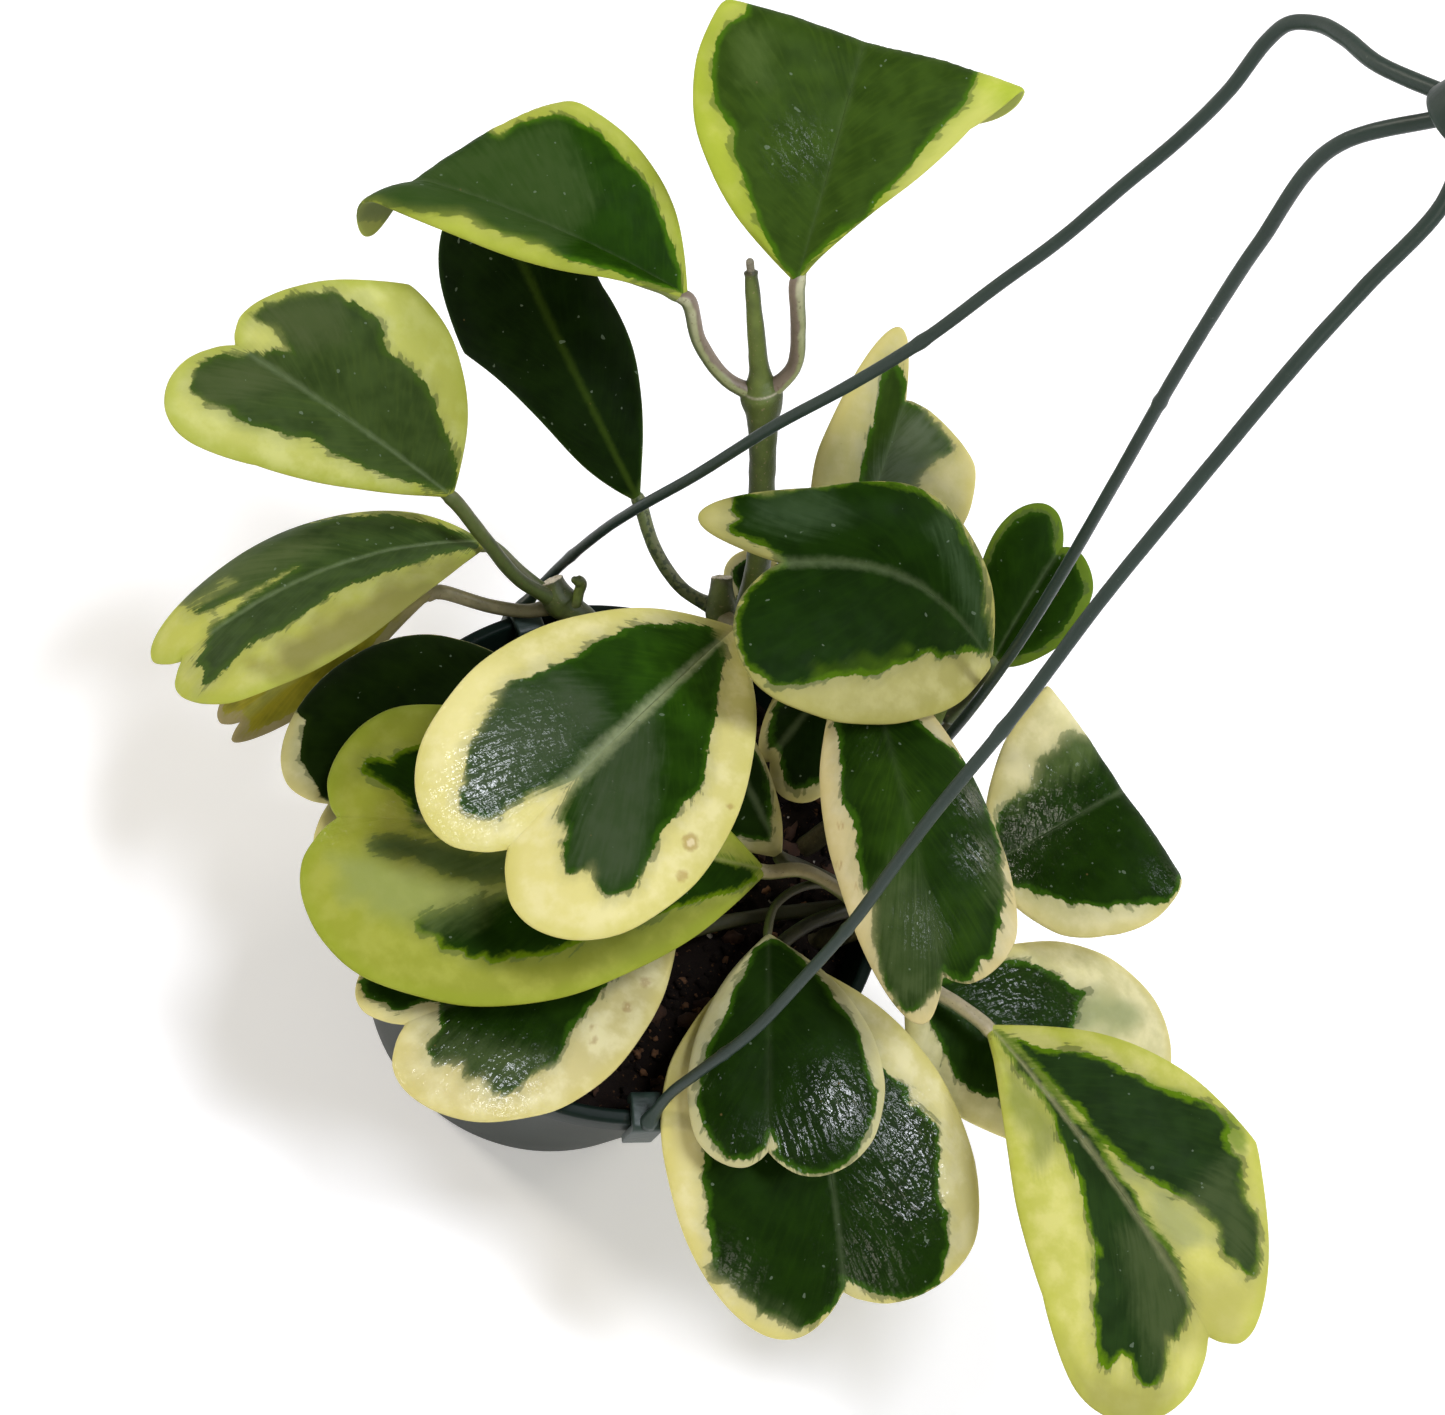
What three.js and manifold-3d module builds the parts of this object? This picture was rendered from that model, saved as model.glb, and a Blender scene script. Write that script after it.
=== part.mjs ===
// Potted variegated sweetheart hoya in a hanging pot, in millimetres, +Z up.
// The origin is the middle of the pot's flat base.
import * as THREE from "three";
import * as BufferGeometryUtils from "three/addons/utils/BufferGeometryUtils.js";
import Module from "manifold-3d";

const wasm = await Module();
wasm.setup();

// Pot: a thin moulded nursery pot with a rolled rim and drainage holes round a solid middle.
const RIM_DIAMETER = 150;
const POT_HEIGHT = 110;
const BASE_DIAMETER = 112;
const WALL = 1.8;
const FLOOR = 2.6;
const RIM_BAND = 9;
const RIM_PROUD = 2.2;
const RIM_ROUND = 2;
const DRAIN_COUNT = 6;
const DRAIN_DIAMETER = 8;
const DRAIN_CIRCLE = 72;
const DRAIN_SIDES = 12;
const POT_SIDES = 40;
const MERGE_WITHIN = 1e-4;

// Soil: filled to a little below the rim, with low crumbs on top.
const SOIL_BELOW_RIM = 12;
const CRUMB = 1.6;
const SOIL_SIDES = 30;
const SOIL_RINGS = 5;
const CRUMBS_AROUND = [11, 5];
const CRUMBS_INWARD = [2.3, 4.1];

// Touching pieces keep this gap.
const SEAT_GAP = 0.3;

// Hanger: three round arms, each with a tab over the rim, that meet in a boss with a hook.
const ARM_DIAMETER = 3.1;
const ARM_SIDES = 6;
const HOOK_DIAMETER = 4.2;
const HOOK_BEND_DIAMETER = 30;
const BOSS_DIAMETER = 15;
const BOSS_HEIGHT = 9;
const BOSS_SIDES = 20;
const BOSS_TOP_DIAMETER = 12;
const ARM_SOCKET = 3;
const ARM_STEPS = 26;
const HOOK_SIDES = 8;
const HOOK_SHANK = 32;
const HOOK_SWEEP = 215;
const HOOK_STEPS = 7;
const HOOK_SPAN_STEPS = 2;
const HOOK_ROOT_DIAMETER = 5.9;
const TAB_WIDTH = 8;
const TAB_THICKNESS = 2.2;
const TAB_DROP = 12;
const TAB_REACH = 8;
const TAB_LIP = 3.6;
const TAB_ROUND_STEPS = 3;
const ARM_FOOT_INSET = 1;

// Plant: round stems, fleshy petioles and thick heart-shaped leaves.
const STEM_SIDES = 9;
const STEM_SPAN_STEPS = 3;
const ROOT_DEPTH = 26;
const PETIOLE_SIDES = 6;
const PETIOLE_SPAN_STEPS = 2;
const PETIOLE_STARTS_AT = 0.09;
const PETIOLE_START_SHARE = 0.7;
const LEAF_THICKNESS = 2.6;
const EDGE_THICKNESS = 1.3;
const MIDRIB_EXTRA = 0.9;
const WIDEST_AT = 0.66;
const LOBES_FROM = 0.6;
const TILT_LIMIT = 1.1;
const RIB_LEAN = 1.6;
const CROWN_PEAK = 2.6;
const RIPPLE_PITCH = 7.3;
const RIPPLE_SHIFT = 1.9;
const OUTLINE_STEPS = 12;
const ACROSS_STEPS = 3;
const FOLD_MOST = 2.2;

// The photograph's view: a lens that looks down at the rim and is rolled to one side.
const VIEW_WIDTH = 1445;
const VIEW_HEIGHT = 1415;
const VIEW_FOCAL = 2007;
const VIEW_PITCH = 59.25;
const VIEW_ROLL = 32.7;
const VIEW_YAW = 0.36;
const VIEW_FROM = new THREE.Vector3(0, -237.2, 488.6 + POT_HEIGHT);
const RIM_DISTANCE = 541.2;

const Z_AXIS = new THREE.Vector3(0, 0, 1);
const radians = THREE.MathUtils.degToRad;

function viewAxes() {
  const pitch = radians(VIEW_PITCH);
  const yaw = radians(VIEW_YAW);
  const ahead = new THREE.Vector3(
    Math.sin(yaw) * Math.cos(pitch),
    Math.cos(yaw) * Math.cos(pitch),
    -Math.sin(pitch),
  );
  const level = new THREE.Vector3().crossVectors(ahead, Z_AXIS).normalize();
  const right = level.clone().applyAxisAngle(ahead, -radians(VIEW_ROLL));
  const up = new THREE.Vector3().crossVectors(right, ahead);
  return { ahead, right, up };
}

const VIEW = viewAxes();

// The point seen at pixel (x, y), so many millimetres nearer to the lens than the rim's middle is.
function seen([x, y, nearer]) {
  const distance = RIM_DISTANCE - nearer;
  return VIEW_FROM.clone()
    .addScaledVector(VIEW.ahead, distance)
    .addScaledVector(VIEW.right, ((x - VIEW_WIDTH / 2) / VIEW_FOCAL) * distance)
    .addScaledVector(VIEW.up, ((VIEW_HEIGHT / 2 - y) / VIEW_FOCAL) * distance);
}

// Half of a leaf's outline from its base, round the lobe, to the notch: across, along.
const HALF_OUTLINE = new THREE.SplineCurve(
  [
    [0, 0],
    [0.27, 0.095],
    [0.52, 0.194],
    [0.73, 0.307],
    [0.91, 0.443],
    [1, 0.6],
    [1, 0.73],
    [0.91, 0.896],
    [0.73, 1.01],
    [0.5, 1.075],
    [0.28, 1.085],
    [0.1, 1.045],
    [0, 1],
  ].map(([across, along]) => new THREE.Vector2(across, along)),
);

const PLAIN_LEAF = {
  arch: 3,
  crown: [2, 2],
  lobe: [0, 0],
  flare: [0, 0],
  sway: 0,
  slim: [0, 0],
  wave: 0.8,
  petioleDiameter: 4.2,
};

// Leaves, nearest first. Every place is across and down in the photograph's pixels, then the
// millimetres that it stands in front of the rim's middle. left and right are the widest points,
// as seen when looking from the base to the notch. arch bows the midrib, crown swells each half,
// lobe lengthens and flare widens each lobe, slim draws in the half below its widest point, sway
// bends the midrib sideways, and fold is the line over which the far end rolls back. The petiole
// runs on from the base to its stem.
const LEAVES = {
  leaf_big_middle: {
    base: [737, 628, 8], notch: [507, 850, 60], left: [696, 880, 62], right: [476, 670, 46],
    arch: 4, crown: [3, 3], wave: 1.2,
    petiole: [[728, 621, 4], [722, 614, 0]],
    stem: "stem_back",
  },
  leaf_top_right: {
    base: [797, 285, 54], notch: [878, -10, 56], left: [699, 54, 65], right: [968, 130, 63],
    arch: 7, crown: [2, 2], flare: [0, 2.2],
    fold: { from: [735, 22, 62], to: [1000, 96, 65], radius: 5 },
    petiole: [[798, 330, 46], [793, 368, 38], [764, 396, 32]],
    stem: "stem_tall",
  },
  leaf_top_left: {
    base: [688, 300, 46], notch: [398, 176, 50], left: [498, 251, 60], right: [566, 100, 44],
    arch: 5, crown: [3, 4], lobe: [0.1, 0], flare: [0.6, 0],
    fold: { from: [350, 232, 56], to: [546, 120, 50], radius: 5 },
    petiole: [[700, 342, 40], [728, 380, 35], [762, 396, 32]],
    stem: "stem_tall",
  },
  leaf_dark_back: {
    base: [640, 503, 2], notch: [500, 215, 16], left: [465, 353, 8], right: [602, 287, 11],
    arch: 6, slim: [0.3, -0.15], petioleDiameter: 4,
    petiole: [[655, 548, 0], [682, 588, -1], [720, 610, 0]],
    stem: "stem_back",
  },
  leaf_left_upper: {
    base: [452, 498, 16], notch: [235, 345, 46], left: [258, 465, 46], right: [408, 286, 34],
    arch: 5, crown: [2, 3], lobe: [0, -0.05], flare: [1.4, -0.9],
    petiole: [[482, 535, 8], [520, 580, -4], [556, 600, -13]],
    stem: "stem_left",
  },
  leaf_left_middle: {
    base: [488, 545, -4], notch: [183, 661, 22], left: [308, 671, 43], right: [270, 543, 0],
    arch: 10, crown: [2, 3], lobe: [-0.06, 0],
    petiole: [[520, 572, -10], [556, 602, -14]],
    stem: "stem_left",
  },
  leaf_left_lower: {
    base: [437, 592, -14], notch: [240, 722, -16], left: [326, 700, -18], right: [282, 640, -32],
    arch: 4,
    petiole: [[490, 606, -16], [530, 611, -16], [558, 604, -14]],
    stem: "stem_left",
  },
  leaf_right_upper: {
    base: [991, 665, 24], notch: [778, 563, 46], left: [838, 720, 50], right: [905, 486, 38],
    arch: 5, crown: [3, 4], lobe: [0.03, 0.26], sway: 9, wave: 1.2,
    petiole: [[976, 690, 14], [948, 715, 2]],
    stem: "stem_right",
  },
  leaf_behind_upper: {
    base: [846, 575, 0], notch: [906, 400, 26], left: [818, 452, 22], right: [968, 512, 22],
    arch: 5, lobe: [0.22, -0.1],
    petiole: [[868, 630, -8], [900, 690, -14], [926, 735, -6]],
    stem: "stem_right",
  },
  leaf_right_small: {
    base: [990, 668, -6], notch: [1063, 547, 6], left: [981, 568, 0], right: [1080, 622, 8],
    arch: 3, lobe: [0.14, -0.06], flare: [0.8, 0], petioleDiameter: 3.4,
    petiole: [[968, 700, -4], [940, 735, -6]],
    stem: "stem_right",
  },
  leaf_hanging: {
    base: [858, 650, 22], notch: [943, 975, 58], left: [1006, 860, 46], right: [829, 850, 46],
    arch: 8, crown: [3, 3], lobe: [-0.08, 0.05], wave: 1.2,
    petiole: [[874, 668, 10], [900, 700, 0], [915, 750, -9]],
    stem: "stem_right",
  },
  leaf_right_edge: {
    base: [985, 868, -8], notch: [1185, 755, -4], left: [1036, 700, -2], right: [1106, 934, 6],
    arch: 5, crown: [3, 3], flare: [0.8, 0.8],
    fold: { from: [1163, 886, 2], to: [1046, 716, -2], radius: 5 },
    petiole: [[955, 866, -12], [915, 835, -16], [874, 786, -9]],
    stem: "stem_right",
  },
  leaf_right_under: {
    base: [905, 985, 0], notch: [1128, 1122, -8], left: [1108, 958, -22], right: [962, 1118, 2],
    arch: 6, crown: [3, 3],
    petiole: [[888, 960, -2], [868, 925, -6]],
    stem: "stem_front",
  },
  leaf_right_lower: {
    base: [985, 1025, 14], notch: [1208, 1337, 32], left: [1256, 1143, 16], right: [1042, 1295, 44],
    arch: 7, crown: [4, 3], lobe: [-0.04, 0], flare: [-1.2, 1.3], wave: 1.2,
    petiole: [[960, 1006, 12], [930, 986, 8], [870, 915, -4]],
    stem: "stem_front",
  },
  leaf_bottom: {
    base: [778, 950, 8], notch: [843, 1292, 24], left: [974, 1160, 12], right: [662, 1140, 34],
    arch: 8, crown: [4, 4], lobe: [-0.06, 0.08], flare: [0, 0.2], wave: 1.4,
    petiole: [[806, 926, 2], [860, 905, -6]],
    stem: "stem_front",
  },
  leaf_bottom_small: {
    base: [768, 933, 20], notch: [768, 1152, 45], left: [884, 1085, 36], right: [688, 1085, 38],
    arch: 3, crown: [2, 2], lobe: [0, -0.04], petioleDiameter: 2.6,
    petiole: [[776, 905, 14], [806, 886, 8], [876, 888, -2]],
    stem: "stem_front",
  },
  leaf_lime_left: {
    base: [768, 872, 12], notch: [337, 818, 32], left: [466, 1003, 52], right: [498, 716, 20],
    arch: 8, crown: [4, 3], lobe: [-0.04, -0.075], flare: [0, 0.5], wave: 1.4,
    petiole: [[800, 870, 10], [832, 885, 4], [864, 910, -7]],
    stem: "stem_front",
  },
  leaf_dark_left: {
    base: [548, 692, -6], notch: [328, 804, 22], left: [425, 855, 20], right: [384, 644, -2],
    arch: 5, lobe: [0, 0.08], flare: [0, 0.45],
    petiole: [[610, 688, -14], [680, 690, -18], [738, 700, -16]],
    stem: "stem_back",
  },
  leaf_left_under: {
    base: [678, 935, 4], notch: [405, 1025, 42], left: [556, 1108, 46], right: [450, 915, 22],
    arch: 4, crown: [3, 3],
    petiole: [[726, 922, -4], [790, 912, -10], [862, 905, -8]],
    stem: "stem_front",
  },
  leaf_middle_shade: {
    base: [781, 858, 4], notch: [690, 690, 8], left: [650, 790, 10], right: [752, 740, 2],
    arch: 4,
    petiole: [[805, 868, -2], [866, 898, -7]],
    stem: "stem_front",
  },
  leaf_back_shade: {
    base: [850, 665, -8], notch: [770, 762, -6], left: [834, 784, -4], right: [786, 680, -12],
    arch: 3,
    petiole: [[885, 705, -14], [925, 790, -14]],
    stem: "stem_right",
  },
  leaf_back_edge: {
    base: [815, 640, -26], notch: [728, 592, -31], left: [752, 646, -31], right: [768, 556, -30],
    arch: 3, petioleDiameter: 3,
    petiole: [[850, 690, -28], [860, 740, -26], [872, 784, -12]],
    stem: "stem_right",
  },
};

// Stems: from the foot in the soil, named across and back in millimetres from the pot's axis,
// through seen points to the top, with a diameter at each end.
const STEMS = {
  stem_tall: {
    foot: [0, 52],
    through: [[756, 575, -2], [762, 480, 19], [762, 395, 32], [756, 330, 44], [750, 262, 56]],
    diameters: [6.4, 6.4, 6.2, 7.2, 4.6, 3],
  },
  stem_back: {
    foot: [6, 36],
    through: [[738, 690, -10], [722, 612, 0], [722, 578, 2]],
    diameters: [6, 6, 6, 5.6],
  },
  stem_left: {
    foot: [-34, 34],
    through: [[590, 622, -16], [562, 603, -14], [552, 581, -12]],
    diameters: [5.6, 5.8, 6, 5.4],
  },
  stem_right: {
    foot: [38, 32],
    through: [[862, 800, -10], [893, 757, -6], [928, 722, 0], [952, 698, 5]],
    diameters: [6, 6, 6, 6, 5],
  },
  stem_front: {
    foot: [46, 12],
    through: [[850, 930, -10], [868, 905, -6], [880, 880, 0]],
    diameters: [6.4, 6.2, 6, 5],
  },
};

// Hanger arms: from the tab on the rim, at an angle round the pot, up to the boss.
const ARMS = {
  hanger_arm_left: {
    tabAngle: 143.5,
    through: [
      [549, 577, -19], [601, 532, 8], [636, 509, 25], [696, 475, 48], [776, 425, 75],
      [850, 385, 95], [924, 340, 112], [998, 285, 128], [1061, 239, 139], [1122, 187, 149],
      [1184, 135, 159], [1230, 89, 168], [1266, 42, 176], [1288, 24, 181], [1318, 24, 187],
      [1345, 38, 194], [1378, 64, 202],
    ],
  },
  hanger_arm_right: {
    tabAngle: 43.5,
    through: [
      [954, 730, 11], [1009, 657, 47], [1055, 585, 77], [1116, 480, 113], [1171, 383, 141],
      [1214, 312, 159], [1260, 242, 177], [1334, 147, 200],
    ],
  },
  hanger_arm_front: {
    tabAngle: -56.2,
    through: [
      [668, 1096, 40], [696, 1074, 48], [752, 1032, 62], [808, 973, 77], [853, 922, 89],
      [890, 872, 100], [932, 816, 112], [1017, 712, 133], [1101, 600, 152], [1199, 480, 172],
      [1306, 352, 192], [1367, 285, 201], [1444, 202, 212],
    ],
  },
};
const BOSS_SEEN = [1478, 108, 218];

const COLOURS = {
  pot: [0x1c2b25, 0.45],
  soil: [0x1f150e, 0.95],
  hanger: [0x46544d, 0.5],
  stem: [0x4f6128, 0.55],
  leaf: [0x2f5220, 0.35],
};

function material(kind) {
  const [color, roughness] = COLOURS[kind];
  return new THREE.MeshStandardMaterial({ color, roughness, metalness: 0 });
}

function toSolid(geometry) {
  const plain = geometry.clone();
  plain.deleteAttribute("normal");
  plain.deleteAttribute("uv");
  const merged = BufferGeometryUtils.mergeVertices(plain, MERGE_WITHIN);
  return new wasm.Manifold(
    new wasm.Mesh({
      numProp: 3,
      vertProperties: new Float32Array(merged.attributes.position.array),
      triVerts: new Uint32Array(merged.index.array),
    }),
  );
}

function toGeometry(solid) {
  const mesh = solid.getMesh();
  const geometry = new THREE.BufferGeometry();
  geometry.setAttribute("position", new THREE.BufferAttribute(mesh.vertProperties, 3));
  geometry.setIndex(new THREE.BufferAttribute(mesh.triVerts, 1));
  return geometry;
}

function indexed(points, faces) {
  const geometry = new THREE.BufferGeometry().setFromPoints(points);
  geometry.setIndex(faces.flat());
  return geometry;
}

// A round limb along a smooth line, with a diameter at each of its points and flat ends.
function limb(points, diameters, sides, stepsPerSpan) {
  const line = new THREE.CatmullRomCurve3(points, false, "centripetal");
  const spans = points.length - 1;
  const steps = spans * stepsPerSpan;
  const rings = [];
  const tangents = [];
  for (let step = 0; step <= steps; step += 1) {
    rings.push(line.getPoint(step / steps));
    tangents.push(line.getTangent(step / steps));
  }
  const side = new THREE.Vector3(0, 1, 0);
  if (Math.abs(tangents[0].x) < Math.abs(tangents[0].y)) {
    side.set(1, 0, 0);
  }
  const vertices = [];
  const faces = [];
  for (let step = 0; step <= steps; step += 1) {
    side.addScaledVector(tangents[step], -side.dot(tangents[step])).normalize();
    const other = new THREE.Vector3().crossVectors(tangents[step], side);
    const place = (step / steps) * spans;
    const low = Math.min(Math.floor(place), spans - 1);
    const radius = THREE.MathUtils.lerp(diameters[low], diameters[low + 1], place - low) / 2;
    for (let corner = 0; corner < sides; corner += 1) {
      const angle = (corner / sides) * 2 * Math.PI;
      vertices.push(
        rings[step].clone()
          .addScaledVector(side, Math.cos(angle) * radius)
          .addScaledVector(other, Math.sin(angle) * radius),
      );
      if (step > 0) {
        const next = (corner + 1) % sides;
        const below = (step - 1) * sides;
        const above = step * sides;
        faces.push([below + corner, below + next, above + next]);
        faces.push([below + corner, above + next, above + corner]);
      }
    }
  }
  const start = vertices.push(rings[0]) - 1;
  const end = vertices.push(rings[steps]) - 1;
  for (let corner = 0; corner < sides; corner += 1) {
    const next = (corner + 1) % sides;
    faces.push([start, next, corner]);
    faces.push([end, steps * sides + corner, steps * sides + next]);
  }
  return indexed(vertices, faces);
}

// The leaf's middle surface: a bent heart through its four seen places.
function leafSurface(leaf) {
  const base = seen(leaf.base);
  const along = seen(leaf.notch).sub(base);
  const middle = base.clone().addScaledVector(along, WIDEST_AT);
  const wide = [seen(leaf.left).sub(middle), seen(leaf.right).sub(middle)];
  const hinge = wide[1].clone().sub(wide[0]).normalize();
  const face = new THREE.Vector3().crossVectors(hinge, along).normalize();
  const bow = (at) => leaf.arch * 4 * at * (1 - at);
  const tilt = (at) => Math.atan((leaf.arch * 4 * (1 - 2 * at)) / along.length());
  const drift = (at) => leaf.sway * (at < 1 ? Math.sin(Math.PI * at) : 2 * (1 - at));
  for (const half of wide) {
    half.addScaledVector(face, -bow(WIDEST_AT)).addScaledVector(hinge, -drift(WIDEST_AT));
  }
  const roll = leaf.fold ? rollOver(leaf.fold, face, base) : (point) => point;
  return (across, at) => {
    const half = across < 0 ? 0 : 1;
    const out = Math.abs(across);
    const turn = tilt(THREE.MathUtils.clamp(at, 0, TILT_LIMIT)) - tilt(WIDEST_AT);
    const normal = face.clone().applyAxisAngle(hinge, turn);
    const lobeShare = 4 * out * (1 - out) * THREE.MathUtils.smoothstep(at, LOBES_FROM, 1);
    const reach = at + leaf.lobe[half] * lobeShare;
    const past = reach - WIDEST_AT;
    const slope = past > 0 ? leaf.flare[half] : Math.max(0, leaf.flare[half]) / 2;
    const short = THREE.MathUtils.clamp(reach / WIDEST_AT, 0, 1);
    const width = out * (1 + slope * past) * (1 - leaf.slim[half] * 4 * short * (1 - short));
    const rise = Math.sin(reach * RIPPLE_PITCH + half * RIPPLE_SHIFT + out);
    const ripple = leaf.wave * rise * out * out;
    const point = base.clone()
      .addScaledVector(along, reach)
      .addScaledVector(face, bow(reach))
      .addScaledVector(hinge, drift(reach))
      .addScaledVector(wide[half].clone().applyAxisAngle(hinge, turn), width)
      .addScaledVector(normal, leaf.crown[half] * CROWN_PEAK * (out - out ** 3) + ripple);
    return roll(point);
  };
}

// Beyond the fold's line, from one seen place to another, the blade rolls back round a radius.
function rollOver(fold, face, inside) {
  const start = seen(fold.from);
  const line = seen(fold.to).sub(start).normalize();
  const beyond = new THREE.Vector3().crossVectors(line, face).normalize();
  if (inside.clone().sub(start).dot(beyond) > 0) {
    beyond.negate();
  }
  return (point) => {
    const past = point.clone().sub(start).dot(beyond);
    if (past <= 0) {
      return point;
    }
    const angle = Math.min(past / fold.radius, FOLD_MOST);
    const rest = past - angle * fold.radius;
    return point
      .addScaledVector(beyond, fold.radius * Math.sin(angle) + rest * Math.cos(angle) - past)
      .addScaledVector(face, -fold.radius * (1 - Math.cos(angle)) - rest * Math.sin(angle));
  };
}

// A blade between two like faces, in rows that fan out from the midrib as the veins do.
function leafBlade(leaf) {
  const surface = leafSurface(leaf);
  const middles = [];
  const thicknesses = [];
  const faces = [];
  const row = 2 * ACROSS_STEPS + 1;
  const at = (step, column) => {
    if (step === 0) {
      return 0;
    }
    if (step === OUTLINE_STEPS) {
      return 1 + (OUTLINE_STEPS - 1) * row;
    }
    return 1 + (step - 1) * row + column;
  };
  for (let step = 0; step <= OUTLINE_STEPS; step += 1) {
    const part = step / OUTLINE_STEPS;
    const outer = HALF_OUTLINE.getPoint(part);
    const rib = part ** RIB_LEAN;
    const isEnd = step === 0 || step === OUTLINE_STEPS;
    for (let column = 0; column < (isEnd ? 1 : row); column += 1) {
      const share = isEnd ? 0 : (column - ACROSS_STEPS) / ACROSS_STEPS;
      const away = Math.abs(share);
      middles.push(surface(outer.x * share, THREE.MathUtils.lerp(rib, outer.y, away)));
      const onEdge = isEnd || away === 1;
      const ribExtra = away === 0 ? MIDRIB_EXTRA * (1 - part) : 0;
      thicknesses.push(onEdge ? EDGE_THICKNESS : LEAF_THICKNESS + ribExtra);
    }
  }
  for (let step = 0; step < OUTLINE_STEPS; step += 1) {
    for (let column = 0; column < row - 1; column += 1) {
      const corners = [at(step, column), at(step, column + 1)];
      corners.push(at(step + 1, column + 1), at(step + 1, column));
      const lean = column < ACROSS_STEPS;
      const pair = lean
        ? [[corners[0], corners[1], corners[2]], [corners[0], corners[2], corners[3]]]
        : [[corners[0], corners[1], corners[3]], [corners[1], corners[2], corners[3]]];
      for (const [a, b, c] of pair) {
        if (a !== b && b !== c && c !== a) {
          faces.push([a, b, c]);
        }
      }
    }
  }
  const sheet = indexed(middles, faces);
  sheet.computeVertexNormals();
  const normals = sheet.attributes.normal;
  const count = middles.length;
  const vertices = [];
  for (const side of [1, -1]) {
    for (let index = 0; index < count; index += 1) {
      const normal = new THREE.Vector3().fromBufferAttribute(normals, index);
      const lift = (side * thicknesses[index]) / 2;
      vertices.push(middles[index].clone().addScaledVector(normal, lift));
    }
  }
  const all = [...faces, ...faces.map(([a, b, c]) => [a + count, c + count, b + count])];
  for (let step = 0; step < OUTLINE_STEPS; step += 1) {
    const edges = [
      [at(step + 1, 0), at(step, 0)],
      [at(step, row - 1), at(step + 1, row - 1)],
    ];
    for (const [from, to] of edges) {
      all.push([from, from + count, to + count]);
      all.push([from, to + count, to]);
    }
  }
  return indexed(vertices, all);
}

function stemPoints(stem) {
  const [across, back] = stem.foot;
  const foot = new THREE.Vector3(across, back, POT_HEIGHT - SOIL_BELOW_RIM - ROOT_DEPTH);
  return [foot, ...stem.through.map(seen)];
}

function stemSolid(name, extra = 0) {
  const stem = STEMS[name];
  const points = stemPoints(stem);
  if (extra > 0) {
    const down = points[0].clone().sub(points[1]).normalize();
    points[0].addScaledVector(down, extra);
  }
  const diameters = stem.diameters.map((diameter) => diameter + 2 * extra);
  return toSolid(limb(points, diameters, STEM_SIDES, STEM_SPAN_STEPS));
}

// The petiole starts inside the blade and ends on its stem, clear of the bark by the seat gap.
function petioleSolid(leaf, extra = 0) {
  const start = leafSurface(leaf)(0, PETIOLE_STARTS_AT);
  const points = [start, seen(leaf.base), ...leaf.petiole.map(seen)];
  const diameters = points.map((point, index) =>
    leaf.petioleDiameter * (index === 0 ? PETIOLE_START_SHARE : 1) + 2 * extra);
  return toSolid(limb(points, diameters, PETIOLE_SIDES, PETIOLE_SPAN_STEPS));
}

// Petioles that spring from one stem are cut clear of those that stand before them.
function leafSolid(leaf, before) {
  let solid = toSolid(leafBlade(leaf)).add(petioleSolid(leaf));
  solid = solid.subtract(stemSolid(leaf.stem, SEAT_GAP));
  for (const other of before) {
    if (other.stem === leaf.stem) {
      solid = solid.subtract(petioleSolid(other, SEAT_GAP));
    }
  }
  return largestBody(solid);
}

function largestBody(solid) {
  const bodies = solid.decompose();
  bodies.sort((one, other) => other.volume() - one.volume());
  return bodies[0];
}

// The pot's wall leans out evenly from the base to the rim.
function wallRadius(height) {
  const base = BASE_DIAMETER / 2;
  const top = RIM_DIAMETER / 2 - RIM_PROUD;
  return THREE.MathUtils.lerp(base, top, height / POT_HEIGHT);
}

function potSolid() {
  const rim = RIM_DIAMETER / 2;
  const band = POT_HEIGHT - RIM_BAND;
  const profile = [
    [0, 0],
    [wallRadius(0), 0],
    [wallRadius(band - RIM_ROUND), band - RIM_ROUND],
    [rim - RIM_ROUND / 3, band],
    [rim, POT_HEIGHT - RIM_ROUND],
    [rim - RIM_ROUND / 3, POT_HEIGHT - RIM_ROUND / 6],
    [rim - RIM_PROUD, POT_HEIGHT],
    [rim - RIM_PROUD - WALL, POT_HEIGHT - RIM_ROUND / 2],
    [wallRadius(band) - WALL, band],
    [wallRadius(FLOOR) - WALL, FLOOR],
    [0, FLOOR],
  ].map(([radius, height]) => new THREE.Vector2(radius, height));
  let pot = toSolid(new THREE.LatheGeometry(profile, POT_SIDES).rotateX(Math.PI / 2));
  for (let hole = 0; hole < DRAIN_COUNT; hole += 1) {
    const angle = (hole / DRAIN_COUNT) * 2 * Math.PI;
    const radius = DRAIN_DIAMETER / 2;
    const drill = new THREE.CylinderGeometry(radius, radius, FLOOR * 3, DRAIN_SIDES);
    drill.rotateX(Math.PI / 2);
    drill.translate(
      (Math.cos(angle) * DRAIN_CIRCLE) / 2,
      (Math.sin(angle) * DRAIN_CIRCLE) / 2,
      FLOOR / 2,
    );
    pot = pot.subtract(toSolid(drill));
  }
  return pot;
}

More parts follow.
